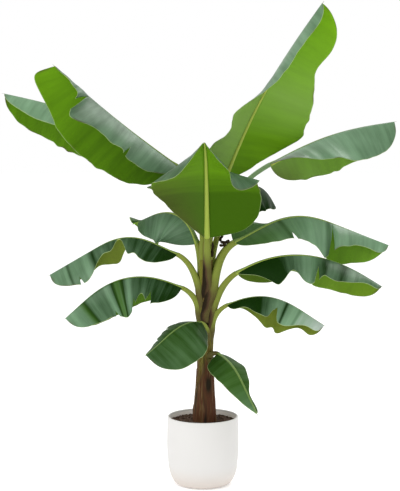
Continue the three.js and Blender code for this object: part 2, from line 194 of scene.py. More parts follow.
LEAVES = (
    Leaf(
        "leaf_top", seat=-45, petiole=195, heading=-25, rise=(86, 66, 52),
        blade=615, width=165, wave=(8, 2.6, 0.1), aged=-0.3,
        left=Half(
            (-20, -52, -62), (0.6, 0.55), share=1.05, leans=(Stretch(0.93, 0.04, 0.1),),
            swells=(Stretch(0.28, 0.24, 0.1), Stretch(0.7, -0.35, 0.16)),
            glow=(0.2, 0.4, 0.8, 0.85, 0.85), frost=(0, 0, 0.4, 0.1, 0),
        ),
        right=Half(
            (20, -20, -55), (0.3, 0.55),
            swells=(Stretch(0.37, 0.42, 0.08), Stretch(0.26, -0.2, 0.05), Stretch(0.75, -0.35, 0.25)),
            bloom=(0.6, 0.6, 0.65), glow=(0.5, 0.55, 0.6), frost=(0.45, 0.4, 0.3),
        ),
    ),
    Leaf(
        "leaf_left_high", seat=225, petiole=260, bow=2, heading=205, rise=(88, 34, 40),
        blade=488, width=190, wave=(8, 3, 0), aged=-0.3,
        left=Half(
            (-50, -50, -50), (0.28, 0.3), share=0.68, slant=0.4, leans=(Stretch(0.72, 0.3, 0.18),),
            swells=(Stretch(0.66, 0.5, 0.07), Stretch(0.9, -0.45, 0.13)),
            tears=(Tear(0.33, 0.35, 0.012, 10), Tear(0.72, 0.85, 0.02, 22)),
            bloom=(0.5, 0.55, 0.25),
        ),
        right=Half(
            (-65, -65, -65), (0.22, 0.2), share=0.83, leans=(Stretch(0.98, 0.6, 0.13),),
            swells=(Stretch(1.0, -0.4, 0.25),),
            glow=(0.0, 0.15, 0.5), frost=(0, 0, 0),
        ),
    ),
    Leaf(
        "leaf_left_far", seat=135, petiole=250, bow=2, heading=172, rise=(88, 34, 12),
        blade=600, width=150, wave=(8, 3, 0), aged=-0.3,
        left=Half((-30, -30, -40), (0.4, 0.6), share=0.78, bloom=(0.6, 0.8, 0.75)),
        right=Half(
            (-70, -70, -70), (0.4, 0.42), share=0.95, tears=(Tear(0.2, 0.4, 0.02, 6),),
            glow=(0.2, 0.25, 0.2), frost=(0, 0, 0),
        ),
    ),
    Leaf(
        "leaf_right_high", seat=45, petiole=316, bow=0.8, heading=12, rise=(80, 28, 8),
        blade=432, width=125, wave=(6, 3, 0), wax_sheen=0.7,
        left=Half(
            (-55, -62, -60), (0.3, 0.42), share=1.1,
            glow=(0.35, 0.4, 0.35), frost=(0.3, 0.2, 0.1), stain=(0.5, 0, 0, 0, 0),
        ),
        right=Half(
            (5, -38, -62), (0.45, 0.42), share=1.06,
            bloom=(0.9, 0.8, 0.65), stain=(0.7, 0, 0, 0, 0),
        ),
    ),
    Leaf(
        "leaf_front", seat=-75, start=632, petiole=150, heading=-91.5, rise=(87, 68, 8),
        blade=510, width=168, wave=(10, 3, 0), aged=0.75, seam=212,
        scraps=(Scrap(0.55, (12, 0, 0), 50, 80, 12, 4.2),),
        left=Half(
            (0, -20, -60), (0.26, 0.9), share=0.95, swells=(Stretch(0.55, 0.28, 0.1),),
            droops=(Stretch(0.62, -50, 0.085), Stretch(0.46, 20, 0.08)),
            glow=(-0.25, -0.1, 0.45, 0.5, 0.45), frost=(0, 0, 0),
        ),
        right=Half(
            (-5, -24, -52), (0.85, 0.6), share=1.1,
            glow=(-0.25, -0.1, 0.4, 0.45, 0.4), frost=(0.05, 0.05, 0.0), stain=(0.5, 0.4, 0.0),
        ),
    ),
    Leaf(
        "leaf_back", seat=95, start=660, sheath=60, petiole=190, heading=97, rise=(86, 62, -32),
        blade=470, width=125, wave=(8, 3, 0.2),
        left=Half((-20, -45, -60), (0.38, 0.5), tears=(Tear(0.5, 0.75, 0.02, 8),)),
        right=Half((-20, -45, -60), (0.38, 0.5), tears=(Tear(0.65, 0.6, 0.02),)),
    ),
    Leaf(
        "leaf_back_right", seat=45, start=640, sheath=60, petiole=240, heading=50, rise=(86, 48, -50),
        blade=298, width=94, wave=(6, 3, 0),
        scraps=(Scrap(0.58, (5, -6, -14), 24, 62, -20, 5.5),),
        left=Half((-60, -60, -60), (0.38, 0.6), tears=(Tear(0.4, 0.5, 0.02),), glow=(0.0, 0.05, 0.2)),
        right=Half((-60, -60, -60), (0.38, 0.6), bloom=(-0.3, -0.2, 0.1), glow=(0.0, 0.05, 0.2)),
    ),
    Leaf(
        "leaf_back_left", seat=115, start=650, sheath=60, petiole=105, heading=147, rise=(89, 70, -22),
        bend=(0.38, 0.85), blade=298, width=112, wave=(6, 3, 0), stout=1.6,
        left=Half(
            (-60, -65, -50), (0.35, 0.6), tears=(Tear(0.87, 0.8, 0.012, 75),),
            bloom=(0.4, 0.55, 0.45), fresh=(Stretch(0.95, 1.3, 0.08),),
            glow=(0.3, 0.4, 1.0), frost=(0, 0, 0),
        ),
        right=Half((-60, -60, -60), (0.35, 0.6), tears=(Tear(0.5, 0.5, 0.03),), glow=(0.3, 0.4, 0.6)),
    ),
    Leaf(
        "leaf_right_upper", seat=-25, start=612, sheath=40, petiole=170, bow=2.5, heading=12,
        rise=(78, 27, -21), bend=(0.4, 0.5), blade=538, width=125, wave=(6, 4, 0), stout=1.35, seam=158,
        scraps=(Scrap(0.97, (-6, -8, 7), 33, 196, -30, 6.0), Scrap(0.88, (-7, -9, 8), 24, 212, -60, 5.5)),
        left=Half(
            (55, -65, -82), (0.45, 0.55), share=1.12, leans=(Stretch(0.95, 0.1, 0.1),),
            swells=(Stretch(0.47, -0.65, 0.15),), tears=(Tear(0.65, 0.5, 0.015),),
            fresh=(Stretch(0.1, 0.6, 0.2),), glow=(0.5, 0.45, 0.5),
        ),
        right=Half(
            (-30, -48, -90), (0.45, 0.42), share=0.85,
            swells=(Stretch(0.58, 0.35, 0.07), Stretch(0.85, -0.45, 0.15)),
            tears=(Tear(0.31, 0.3, 0.012), Tear(0.62, 0.9, 0.012, 24)),
            bloom=(0.25, 0.55, 0.85, 0.8, 0.85), fresh=(Stretch(0.1, 0.6, 0.2),),
            streaks=(Stretch(0.29, -0.4, 0.02), Stretch(0.6, -0.5, 0.02)),
        ),
    ),
    Leaf(
        "leaf_left_upper", seat=190, start=618, sheath=40, petiole=130, bow=2, heading=178,
        rise=(72, 25, -30), bend=(0.38, 0.5), blade=437, width=105, wave=(6, 4, 0),
        left=Half(
            (-40, -55, -46), (0.4, 0.3), tears=(Tear(0.8, 0.3, 0.012, 6),),
            swells=(Stretch(0.44, -0.97, 0.07), Stretch(0.3, -0.4, 0.08), Stretch(0.58, -0.7, 0.12)),
            bloom=(-0.1, 0.1, 0.2, 0.5, 0.62),
            streaks=(Stretch(0.72, 0.3, 0.02), Stretch(0.66, -0.3, 0.015), Stretch(0.86, -0.5, 0.012)),
        ),
        right=Half(
            (-60, -75, -70), (0.4, 0.4), share=0.8,
            swells=(Stretch(0.33, -0.75, 0.1), Stretch(0.66, -0.3, 0.1)),
            glow=(0.35, 0.35, 0.4), frost=(0.2, 0.3, 0.2), olive=(0.6, 0.8, 0.6),
        ),
    ),
    Leaf(
        "leaf_right_middle", seat=-5, start=548, sheath=40, petiole=143, bow=1.8, heading=-5,
        rise=(80, 41.5, -32), bend=(0.36, 1.3), blade=480, width=115, wave=(6, 4, 0), stout=1.1, seam=150,
        left=Half(
            (-80, -76, -82), (0.35, 0.35), share=0.85, swells=(Stretch(0.36, -0.45, 0.12),),
            glow=(0.0, 0.5, 0.6), frost=(0.05, 0.15, 0.05), olive=(0.3, 0.2, 0.4),
        ),
        right=Half(
            (-60, -60, -60), (0.7, 0.35), share=0.87, tears=(Tear(0.56, 0.6, 0.015, 36),),
            swells=(Stretch(0.22, 0.45, 0.08), Stretch(0.38, -0.4, 0.06), Stretch(0.92, -0.6, 0.1)),
            bloom=(-0.4, 0.45, 0.35),
            streaks=(
                Stretch(0.47, 0.3, 0.05), Stretch(0.2, -0.25, 0.12),
                Stretch(0.6, -0.3, 0.03), Stretch(0.73, -0.3, 0.025),
            ),
        ),
    ),
    Leaf(
        "leaf_left_middle", seat=172, start=550, sheath=40, petiole=92, heading=184,
        rise=(80, 24, -42), bend=(0.42, 0.9), blade=407, width=120, wave=(6, 4, 0),
        left=Half(
            (-50, -65, -70), (0.3, 0.35), share=0.85,
            swells=(Stretch(0.31, -0.45, 0.06), Stretch(0.48, 0.2, 0.12)),
            tears=(Tear(0.22, 0.5, 0.03), Tear(0.38, 0.35, 0.02, -5), Tear(0.62, 0.2, 0.02)),
            bloom=(0.05, 0.1, 0.35, 0.45, 0.75),
            fresh=(Stretch(0.52, 0.8, 0.03), Stretch(0.84, 0.5, 0.025)),
            streaks=(
                Stretch(0.555, -0.6, 0.012), Stretch(0.48, -0.6, 0.012), Stretch(0.43, 0.4, 0.02),
                Stretch(0.61, 0.3, 0.025), Stretch(0.82, -0.5, 0.025),
            ),
        ),
        right=Half(
            (-70, -75, -75), (0.5, 0.4), share=0.9, tears=(Tear(0.45, 0.4, 0.02),),
            glow=(0.3, 0.2, 0.35),
        ),
    ),
    Leaf(
        "leaf_right_lower", seat=-12, start=496, sheath=40, petiole=92, heading=-12,
        rise=(84, 25, -32), bend=(0.38, 0.85), blade=326, width=92, wave=(6, 4, 0),
        left=Half(
            (-80, -80, -80), (0.35, 0.35), share=1.05,
            swells=(
                Stretch(0.08, -0.6, 0.12), Stretch(0.34, 0.1, 0.1),
                Stretch(0.6, 0.15, 0.08), Stretch(0.82, -0.35, 0.1),
            ),
            glow=(0.25, 0.3, 0.3), frost=(0.2, 0.2, 0.1), olive=(0.7, 0.8, 0.8),
        ),
        right=Half(
            (-45, -45, -45), (0.45, 0.35), share=0.85, tears=(Tear(0.52, 0.4, 0.02, -8),),
            swells=(Stretch(0.15, -0.4, 0.1), Stretch(0.5, -0.5, 0.05), Stretch(0.87, -0.45, 0.14)),
            bloom=(-0.35, 0.6, 1.6),
            streaks=(Stretch(0.3, -0.4, 0.1), Stretch(0.6, -0.8, 0.02), Stretch(0.74, -0.5, 0.015)),
        ),
    ),
    Leaf(
        "leaf_low_left", seat=-80, start=485, sheath=40, petiole=55, heading=-118, sweep=-45,
        rise=(66, 12, -37), bend=(0.35, 0.8), blade=242, width=105, wave=(4, 3, 0),
        left=Half(
            (-45, -40, -40), (0.45, 0.3), share=1.15,
            bloom=(0.0, 0.2, 0.2), fresh=(Stretch(0.6, 0.35, 0.6),),
        ),
        right=Half(
            (-5, -12, -10), (0.35, 0.38), share=0.58, tears=(Tear(0.45, 0.4, 0.03), Tear(0.72, 0.5, 0.03)),
            bloom=(0.0, 0.1, 0.25), fresh=(Stretch(0.6, 0.3, 0.6),),
        ),
    ),
    Leaf(
        "leaf_low_right", seat=-52, start=406, sheath=40, petiole=50, heading=-50,
        rise=(48, -12, -52), bend=(0.25, 0.7), blade=240, width=80, wave=(4, 3, 0), aged=1.3,
        left=Half(
            (-15, -10, -20), (0.38, 0.6), share=0.55, swells=(Stretch(0.75, -0.8, 0.2),),
            bloom=(0.1, 0.1, 0.2), fresh=(Stretch(0.5, 0.5, 0.7),),
        ),
        right=Half(
            (-30, -30, -30), (0.22, 0.85), share=0.82,
            bloom=(0.0, 0.1, 0.7), fresh=(Stretch(0.5, 0.6, 0.6),),
        ),
    ),
)


# Plain maths.

def ease(value):
    value = np.clip(value, 0, 1)
    return value * value * (3 - 2 * value)


def bump(x, place, reach):
    return np.exp(-(((x - place) / reach) ** 2))


def added(stretches, x):
    """What stretches of a half blade add up to at places along it."""
    return sum((one.amount * bump(x, one.place, one.reach) for one in stretches), 0 * x)


def through(values, x):
    """A value that passes three named values at 0, 1/2 and 1."""
    first, middle, last = values
    return first * (1 - x) * (1 - 2 * x) + middle * 4 * x * (1 - x) + last * x * (2 * x - 1)


def toned(values, x):
    """A tone that passes the values at even steps along the blade."""
    return np.interp(x, np.linspace(0, 1, len(values)), values)


def unit(vectors):
    return vectors / np.linalg.norm(vectors, axis=-1, keepdims=True)


def wander(places, spacing, seed):
    """Smooth random values between -1 and 1 along a line, with a knot at each spacing."""
    count = 512
    knots = np.random.default_rng(seed).uniform(-1, 1, count)
    place = np.abs(np.asarray(places)) / spacing
    first = np.floor(place).astype(int)
    here = knots[first % count]
    there = knots[(first + 1) % count]
    return here + (there - here) * ease(place - first)


def turns_round(sides):
    """Even angles round a ring, in radians."""
    return np.arange(sides) / sides * FULL_TURN


def turned_from(turns, degrees):
    """Angles from a direction, between minus and plus half a turn, in radians."""
    return (turns - math.radians(degrees) + math.pi) % FULL_TURN - math.pi


def stem_centre(z):
    z = np.asarray(z, float)
    return np.stack([STEM_FOOT_X + STEM_LEAN * (z - SOIL_LEVEL), 0 * z, z], axis=-1)


def stem_radius(z):
    above = np.maximum(np.asarray(z, float) - SOIL_LEVEL, 0)
    return STEM_RADIUS + FLARE * np.exp(-((above / FLARE_REACH) ** 1.5))


class Limb:
    """The bent line of a leaf, from the petiole's foot to the tip of the rib, in millimetres."""

    STEPS = 240

    def __init__(self, leaf):
        self.leaf = leaf
        self.core = leaf.start is None
        self.foot = STEM_TOP if self.core else leaf.start
        turn = math.radians(leaf.seat)
        self.side = np.array([math.cos(turn), math.sin(turn), 0])
        reach = CORE_SEAT if self.core else OUTER_SEAT * stem_radius(self.foot)
        middles = (np.arange(self.STEPS) + 0.5) / self.STEPS
        start = stem_centre(self.foot) + self.side * reach
        self.stalk = self.trace(start, leaf.petiole, self.frames(middles, 0 * middles)[0])
        self.rib = self.trace(self.stalk[-1], leaf.blade, self.frames(1 + 0 * middles, middles)[0])
        self.girth = min(1, LEAST_GIRTH + GIRTH_PER_BLADE * leaf.blade) * leaf.stout

    def trace(self, start, length, directions):
        steps = directions * (length / self.STEPS)
        return start + np.concatenate([np.zeros((1, 3)), np.cumsum(steps, axis=0)])

    def point_on(self, line, x):
        places = np.linspace(0, 1, self.STEPS + 1)
        return np.stack([np.interp(x, places, line[:, k]) for k in range(3)], axis=-1)

    def frames(self, along, out):
        """Direction, level side to the left, and upper side, along the petiole and out on the blade."""
        leaf = self.leaf
        at, over = leaf.bend
        bent = (leaf.rise[2] - leaf.rise[1]) * ease((out - at) / over + 0.5)
        lift = np.radians(leaf.rise[0] + (leaf.rise[1] - leaf.rise[0]) * along**leaf.bow + bent)
        turn = np.radians(leaf.heading + leaf.sweep * out)
        level = np.cos(lift)
        forward = np.stack([level * np.cos(turn), level * np.sin(turn), np.sin(lift)], axis=-1)
        left = np.stack([-np.sin(turn), np.cos(turn), 0 * turn], axis=-1)
        return forward, left, np.cross(forward, left)


# Meshes.

def linked(name, data):
    """Puts a new object in the scene."""
    made = bpy.data.objects.new(name, data)
    bpy.context.scene.collection.objects.link(made)
    return made


def grid_faces(index):
    corners = (index[:-1, :-1], index[1:, :-1], index[1:, 1:], index[:-1, 1:])
    return np.stack(corners, axis=-1).reshape(-1, 4)


def edge_faces(first, second):
    """Faces between two lines of points."""
    return grid_faces(np.stack([first, second], axis=1))


def ring_faces(index):
    """Faces of a tube whose rings run anticlockwise, seen from its far end."""
    return grid_faces(np.concatenate([index, index[:, :1]], axis=1))[:, ::-1]


class Shell:
    """Gathers the points, faces, finishes and point values of one piece, in millimetres."""

    def __init__(self, *value_names):
        self.points = []
        self.values = {name: [] for name in value_names}
        self.faces = []
        self.finishes = []
        self.count = 0

    def add(self, points, **values):
        """Adds a grid of points, and returns their numbers in the same grid."""
        shape = points.shape[:-1]
        size = int(np.prod(shape))
        self.points.append(points.reshape(-1, 3))
        for name, kept in self.values.items():
            kept.append(np.broadcast_to(values.get(name, 0.0), shape).reshape(-1))
        numbers = np.arange(self.count, self.count + size).reshape(shape)
        self.count += size
        return numbers

    def cover(self, faces, finish=0):
        faces = np.asarray(faces)
        self.faces.extend(faces.tolist())
        self.finishes.extend([finish] * len(faces))

    def tube(self, rings, finish=0, **values):
        """Closed tube over rings of points."""
        index = self.add(rings, **values)
        self.cover(ring_faces(index), finish)
        self.cover([index[0][::-1].tolist()], finish)
        self.cover([index[-1].tolist()], finish)

    def piece(self, name, materials, nodes):
        """Makes the object, which rides on the body and stands for the named solids."""
        used = np.unique(np.concatenate([np.asarray(face) for face in self.faces]))
        numbers = np.full(self.count, -1)
        numbers[used] = np.arange(len(used))
        points = np.concatenate(self.points)[used] * MM
        faces = [[int(numbers[corner]) for corner in face] for face in self.faces]
        mesh = bpy.data.meshes.new(name)
        mesh.from_pydata(points.tolist(), [], faces)
        for key, kept in self.values.items():
            layer = mesh.attributes.new(key, "FLOAT", "POINT")
            layer.data.foreach_set("value", np.concatenate(kept)[used].astype(np.float32))
        for material in materials:
            mesh.materials.append(material)
        mesh.polygons.foreach_set("material_index", np.array(self.finishes, np.int32))
        mesh.polygons.foreach_set("use_smooth", np.ones(len(faces), bool))
        mesh.update()
        made = linked(name, mesh)
        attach(made, BODY)
        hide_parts(*nodes)


# Shader maths.

class Flow:
    """One output of a finish's nodes, on which Python's operators build Math nodes."""

    def __init__(self, finish, output):
        self.finish = finish
        self.output = output

    def math(self, operation, first, second):
        return self.finish.node("ShaderNodeMath", {"operation": operation}, {0: first, 1: second})

    def __add__(self, other):
        return self.math("ADD", self, other)

    def __radd__(self, other):
        return self.math("ADD", other, self)

    def __sub__(self, other):
        return self.math("SUBTRACT", self, other)

    def __rsub__(self, other):
        return self.math("SUBTRACT", other, self)

    def __mul__(self, other):
        return self.math("MULTIPLY", self, other)

    def __rmul__(self, other):
        return self.math("MULTIPLY", other, self)


class Finish:
    """A material that is put together from nodes around one Principled shader."""

    def __init__(self, name, **constants):
        self.material = bpy.data.materials.new(name)
        self.material.use_nodes = True
        self.tree = self.material.node_tree
        self.shader = self.tree.nodes["Principled BSDF"]
        for key, value in constants.items():
            self.shader.inputs[key.replace("_", " ")].default_value = value

    def node(self, kind, settings=None, sockets=None, output=0):
        """Adds a node of any type: its settings first, then the values or links of its sockets."""
        node = self.tree.nodes.new(kind)
        for key, value in (settings or {}).items():
            setattr(node, key, value)
        for key, value in (sockets or {}).items():
            self.join(value, node.inputs[key])
        return Flow(self, node.outputs[output])

    def join(self, value, socket):
        if isinstance(value, Flow):
            self.tree.links.new(value.output, socket)
        else:
            socket.default_value = value

    def reads(self, name):
        return self.node("ShaderNodeAttribute", {"attribute_name": name}, output="Fac")

    def place(self):
        return self.node("ShaderNodeTexCoord", output="Object")

    def stretched(self, x, y, z):
        """The place on the piece, with each axis drawn out by its own factor."""
        settings = {"operation": "MULTIPLY"}
        return self.node("ShaderNodeVectorMath", settings, {0: self.place(), 1: (x, y, z)})

    def noise(self, vector, scale, detail=2.0):
        sockets = {"Vector": vector, "Scale": scale, "Detail": detail}
        return self.node("ShaderNodeTexNoise", None, sockets, output="Fac")

    def stripes(self, along, across, layer=0.0, detail=2.0):
        """Noise over a blade or a stalk, with its own scale along it and across it."""
        sockets = {0: self.reads("along") * along, 1: self.reads("across") * across, 2: layer}
        return self.noise(self.node("ShaderNodeCombineXYZ", None, sockets), 1.0, detail)

    def band(self, value, low, high):
        """Runs from 0 to 1 as the value goes from low to high."""
        settings = {"interpolation_type": "SMOOTHSTEP"}
        return self.node("ShaderNodeMapRange", settings, {"Value": value, "From Min": low, "From Max": high})

    def blend(self, share, first, second):
        """Mixes two colours. A Mix node takes colours in sockets 6 and 7, and gives one as output 2."""
        settings = {"data_type": "RGBA", "clamp_factor": True}
        mixed = [colour if isinstance(colour, Flow) else (*colour, 1.0) for colour in (first, second)]
        return self.node("ShaderNodeMix", settings, {0: share, 6: mixed[0], 7: mixed[1]}, output=2)

    def relief(self, height, strength, distance):
        sockets = {"Strength": strength, "Distance": distance, "Height": height}
        return self.node("ShaderNodeBump", None, sockets)

    def made(self, colour, roughness, normal=None):
        self.join(colour, self.shader.inputs["Base Color"])
        self.join(roughness, self.shader.inputs["Roughness"])
        if normal is not None:
            self.join(normal, self.shader.inputs["Normal"])
        return self.material


# Settings that a user would change.

def tint(name, description, default):
    return FloatVectorProperty(
        name=name, description=description, default=default, size=3, min=0, max=1, subtype="COLOR",
    )


class PlantColours(PropertyGroup):
    """Colours of the plant and its pot."""

    # Painted shade: the deep green of an upper face where it catches no sheen.
    upper_shaded: tint("Upper, deep", "Upper face of a leaf without bloom", (0.006, 0.026, 0.002))
    # Bluish wax of an upper face, with a painted sheen of reflected light on it.
    upper_wax_sheen: tint("Upper, waxy", "Upper face of a leaf under its bluish bloom", (0.165, 0.3, 0.168))
    upper_fresh: tint("Upper, fresh", "Bright stretches of an upper face", (0.045, 0.12, 0.01))
    # Painted highlight on the palest stretches of an upper face.
    upper_sheen: tint("Upper, sheen", "Palest stretches of an upper face", (0.4, 0.47, 0.42))
    # Painted shade: an underside with no light through it.
    under_shaded: tint("Underside, dark", "Underside of an old or shaded leaf", (0.045, 0.115, 0.002))
    # Painted light through the leaf, on its underside.
    under_bright: tint("Underside, bright", "Underside with light through it", (0.19, 0.43, 0.008))
    under_frost: tint("Underside, frosted", "Pale wax on the underside", (0.26, 0.36, 0.14))
    under_olive: tint("Underside, yellowed", "Underside of the oldest leaves", (0.15, 0.18, 0.02))
    rib: tint("Rib", "Rib along the blade", (0.38, 0.48, 0.07))
    # Green upper side of the rib; down the rib's sides it is painted shade.
    rib_upper: tint("Rib, upper", "Upper side of the rib", (0.1, 0.19, 0.055))
    petiole: tint("Petiole", "Smooth outer side of a petiole", (0.147, 0.174, 0.034))
    margin: tint("Margin", "Pale line along a blade's edge", (0.36, 0.46, 0.2))
    dry: tint("Dry", "Withered tips and sheath edges", (0.07, 0.04, 0.02))
    charred: tint("Rotted", "Blackened scraps, seams and scars", (0.018, 0.012, 0.005))
    stem_brown: tint("Stem, brown", "Old sheaths low on the stem", (0.085, 0.031, 0.014))
    stem_olive: tint("Stem, olive", "Living sheaths high on the stem", (0.17, 0.18, 0.02))
    stem_pale: tint("Stem, pale", "Dry pale fibres on the stem", (0.26, 0.19, 0.09))
    stem_dark: tint("Stem, dark", "Dark streaks low on the stem", (0.022, 0.013, 0.008))
    soil: tint("Soil", "Moist potting mix", (0.055, 0.03, 0.019))
    soil_bark: tint("Soil, bark", "Lighter fibres and bark in the soil", (0.13, 0.073, 0.042))
    soil_wet: tint("Soil, wet", "Wet hollows in the soil", (0.015, 0.01, 0.008))
    pot: tint("Pot", "Matte off-white of the pot", (0.66, 0.645, 0.63))
    pot_cloud: tint("Pot, clouded", "Faint clouds in the pot's colour", (0.7, 0.69, 0.68))
    # Painted shade: a warmer, darker tone toward the pot's foot.
    pot_foot_shade: tint("Pot, foot", "Warmer tone toward the pot's foot", (0.64, 0.54, 0.47))
    # Painted light: the inner wall is paler than the pot, to lift the shade inside it.
    pot_inside_lit: tint("Pot, inside", "Inner wall of the pot", (1.0, 0.95, 0.9))


class PlantSizes(PropertyGroup):
    """Fine sizes of the visible surfaces."""

    blade_thickness: FloatProperty(
        name="Blade thickness", description="Thickness of a blade beside its rib",
        default=0.0011, min=0.0004, max=0.003, unit="LENGTH",
    )
    pleat_depth: FloatProperty(
        name="Pleat depth", description="Depth of the pleats along the veins",
        default=0.0016, min=0, max=0.005, unit="LENGTH",
    )
    sheath_thickness: FloatProperty(
        name="Sheath thickness", description="Step at the edge of each sheath on the stem",
        default=0.0022, min=0, max=0.005, unit="LENGTH",
    )
    columns: IntProperty(
        name="Columns", description="Rows of faces along a blade", default=150, min=40, max=300,
    )
    crumbs: IntProperty(
        name="Crumbs", description="Loose crumbs and bark chips on the soil", default=260, min=0, max=600,
    )


class StageSettings(PropertyGroup):
    """Floor and light."""

    sky: FloatProperty(name="Sky", description="Strength of the even white light", default=1.0, min=0, max=3)
    key: FloatProperty(name="Key light", description="Power of the front light", default=60, unit="POWER")
    back: FloatProperty(name="Back light", description="Power of the light behind", default=40, unit="POWER")
    floor: tint("Floor", "Plain pale floor", (0.93, 0.93, 0.93))
    floor_cloud: tint("Floor, clouded", "Faint clouds in the floor", (0.91, 0.91, 0.91))
    floor_glow: FloatProperty(
        name="Floor glow", description="Light from below a translucent floor", default=0.22, min=0,
    )


def colours():
    return bpy.context.scene.banana_colours


def sizes():
    return bpy.context.scene.banana_sizes


# Finishes of the leaves.

def fine_veins(finish):
    return finish.stripes(600, 12)


def broad_veins(finish):
    return finish.stripes(40, 4, 3.0, 3.0)


def pale_edged(finish, colour, strength, reach):
    """Adds the pale line along the margin; reach is in metres from the edge."""
    pale = 1 - finish.band(finish.reads("edge"), 0.0006, reach)
    return finish.blend(pale * strength, colour, colours().margin)


def dried(finish, colour):
    return finish.blend(finish.reads("dry"), colour, colours().dry)


def upper_finish():
    look = colours()
    finish = Finish("leaf_upper", Specular_IOR_Level=0.04, Coat_Roughness=0.28)
    fine = fine_veins(finish)
    broad = broad_veins(finish)
    mottle = finish.noise(finish.place(), 9.0)
    # This tone paints the light on the upper face: painted shade where it is low, the wax with its painted
    # sheen above that, and a painted highlight where it is highest.
    bloom = finish.reads("bloom") + (broad - 0.5) * 0.8 + (fine - 0.5) * 0.25 + (mottle - 0.5) * 0.5
    colour = finish.blend(bloom, look.upper_shaded, look.upper_wax_sheen)
    colour = finish.blend(finish.band(bloom, 0.85, 1.7), colour, look.upper_sheen)
    colour = finish.blend(finish.reads("fresh") * (0.6 + broad * 0.8), colour, look.upper_fresh)
    colour = dried(finish, pale_edged(finish, colour, 0.8, 0.0022))
    finish.join(finish.band(bloom, 0.0, 1.0) * 0.4, finish.shader.inputs["Coat Weight"])
    normal = finish.relief(fine * 0.6 + broad * 0.4, 0.35, 0.0012)
    return finish.made(colour, 0.34 + broad * 0.22, normal)


def under_finish():
    look = colours()
    finish = Finish("leaf_under", Specular_IOR_Level=0.05)
    fine = fine_veins(finish)
    broad = broad_veins(finish)
    mottle = finish.noise(finish.place(), 7.0)
    # Glow paints light through the leaf onto the underside, and painted shade where it is low.
    glow = finish.reads("glow") + (broad - 0.5) * 0.45 + (fine - 0.5) * 0.15
    colour = finish.blend(glow, look.under_shaded, look.under_bright)
    colour = finish.blend(finish.reads("frost") * (0.6 + mottle * 0.8), colour, look.under_frost)
    colour = finish.blend(finish.reads("olive") * (0.8 + mottle * 0.4), colour, look.under_olive)
    colour = dried(finish, pale_edged(finish, colour, 0.6, 0.002))
    normal = finish.relief(fine * 0.7 + broad * 0.3, 0.4, 0.0014)
    return finish.made(colour, 0.5 + broad * 0.15, normal)


def margin_finish():
    look = colours()
    finish = Finish("leaf_margin", Specular_IOR_Level=0.3)
    grain = finish.noise(finish.place(), 160.0)
    colour = dried(finish, finish.blend(grain * 0.4, look.margin, look.petiole))
    return finish.made(colour, 0.45 + grain * 0.2)


def rib_finish():
    look = colours()
    finish = Finish("leaf_rib", Specular_IOR_Level=0.15)
    fibres = finish.stripes(20, 900, 0.0, 3.0)
    colour = finish.blend(fibres * 0.4, look.rib, look.petiole)
    # Toward its top the rib takes its green upper colour, which on its sides is painted shade.
    colour = dried(finish, finish.blend(finish.reads("bloom"), colour, look.rib_upper))
    return finish.made(colour, 0.38 + fibres * 0.2, finish.relief(fibres, 0.25, 0.001))


def petiole_finish():
    look = colours()
    finish = Finish("petiole_skin", Specular_IOR_Level=0.06)
    fibres = finish.stripes(18, 700, 0.0, 4.0)
    patches = finish.noise(finish.place(), 22.0, 3.0)
    colour = finish.blend(fibres * 0.45, look.petiole, look.rib)
    colour = finish.blend(finish.band(patches, 0.5, 0.8) * 0.35, colour, look.stem_olive)
    # A petiole's waxy stretch takes the upper faces' bluish wax with its painted sheen.
    colour = finish.blend(finish.reads("bloom"), colour, look.upper_wax_sheen)
    browned = finish.reads("dry") * (0.55 + fibres * 0.9)
    colour = finish.blend(browned, colour, look.dry)
    colour = finish.blend(finish.band(browned, 1.0, 1.7), colour, look.charred)
    return finish.made(colour, 0.36 + fibres * 0.25, finish.relief(fibres, 0.3, 0.0012))


# Blades.

# Finishes of the faces, places across a half, fewest rows along a strip, and thinning at the margin.
UPPER, UNDER, MARGIN, RIB = range(4)
SHARES = np.linspace(0, 1, 25) ** 0.9
FEWEST_COLUMNS = 8
EDGE_THINNING = 0.65

# Seeds of the random draws: those of each leaf are one step on from the last leaf's.
LEFT_SEED = 40
RIGHT_SEED = 50
SEED_STEP = 20

# Tears: how much of the blade their turn is spread over, and the droop, reach and spread of their lips.
TEAR_SOFTNESS = 0.1
LIP_DROOP = 9
LIP_REACH = 0.04
LIP_SPREAD = 1.5

# Margins and pleats: spacing of random knots in millimetres and strength; phase of the left half's waves.
MARGIN_KNOTS = 22
MARGIN_WAVER = 0.025
PLEAT_KNOTS = 26
FINE_PLEAT_KNOTS = 9
FINE_PLEAT = 0.3
FULL_PLEAT_WIDTH = 60
LEFT_PHASE = 0.37

# Withered tips and brown spots on the margin: where they start, how dry they are, and knots in millimetres.
WITHERED_FROM = 0.97
TIP_DRYNESS = 0.5
SPOTS_FROM = 0.95
SPOT_DRYNESS = 0.8
SPOT_KNOTS = 34

# Ribs, lengths in millimetres: rows, sides, overlap with the petiole, groove, tip radii and dry thread.
RIB_ROWS = 90
RIB_SIDES = 14
RIB_OVERLAP = 6
RIB_GROOVE = 0.4
RIB_TIP_WIDE = 1.8
RIB_TIP_HIGH = 1.2
THREAD_LENGTH = 9
THREAD_FROM = 0.985

# How far round a stalk from its top the channel reaches, in radians.
CHANNEL_REACH = 0.62


def half_width(leaf, half, x):
    foot, tip = half.taper
    widest = foot / (foot + tip)
    x = np.clip(x, 0, 1)
    width = leaf.width * half.share * (x / widest) ** foot * ((1 - x) / (1 - widest)) ** tip
    for swell in half.swells:
        width = width * (1 + swell.amount * bump(x, swell.place, swell.reach))
    return np.maximum(width, NARROWEST)


def opened_by(tear, share):
    """How far a tear is open at a share of the half's width: 0 up to its root, 1 at the margin."""
    root = 1 - tear.depth
    return ease((share - root) / (1 - root))


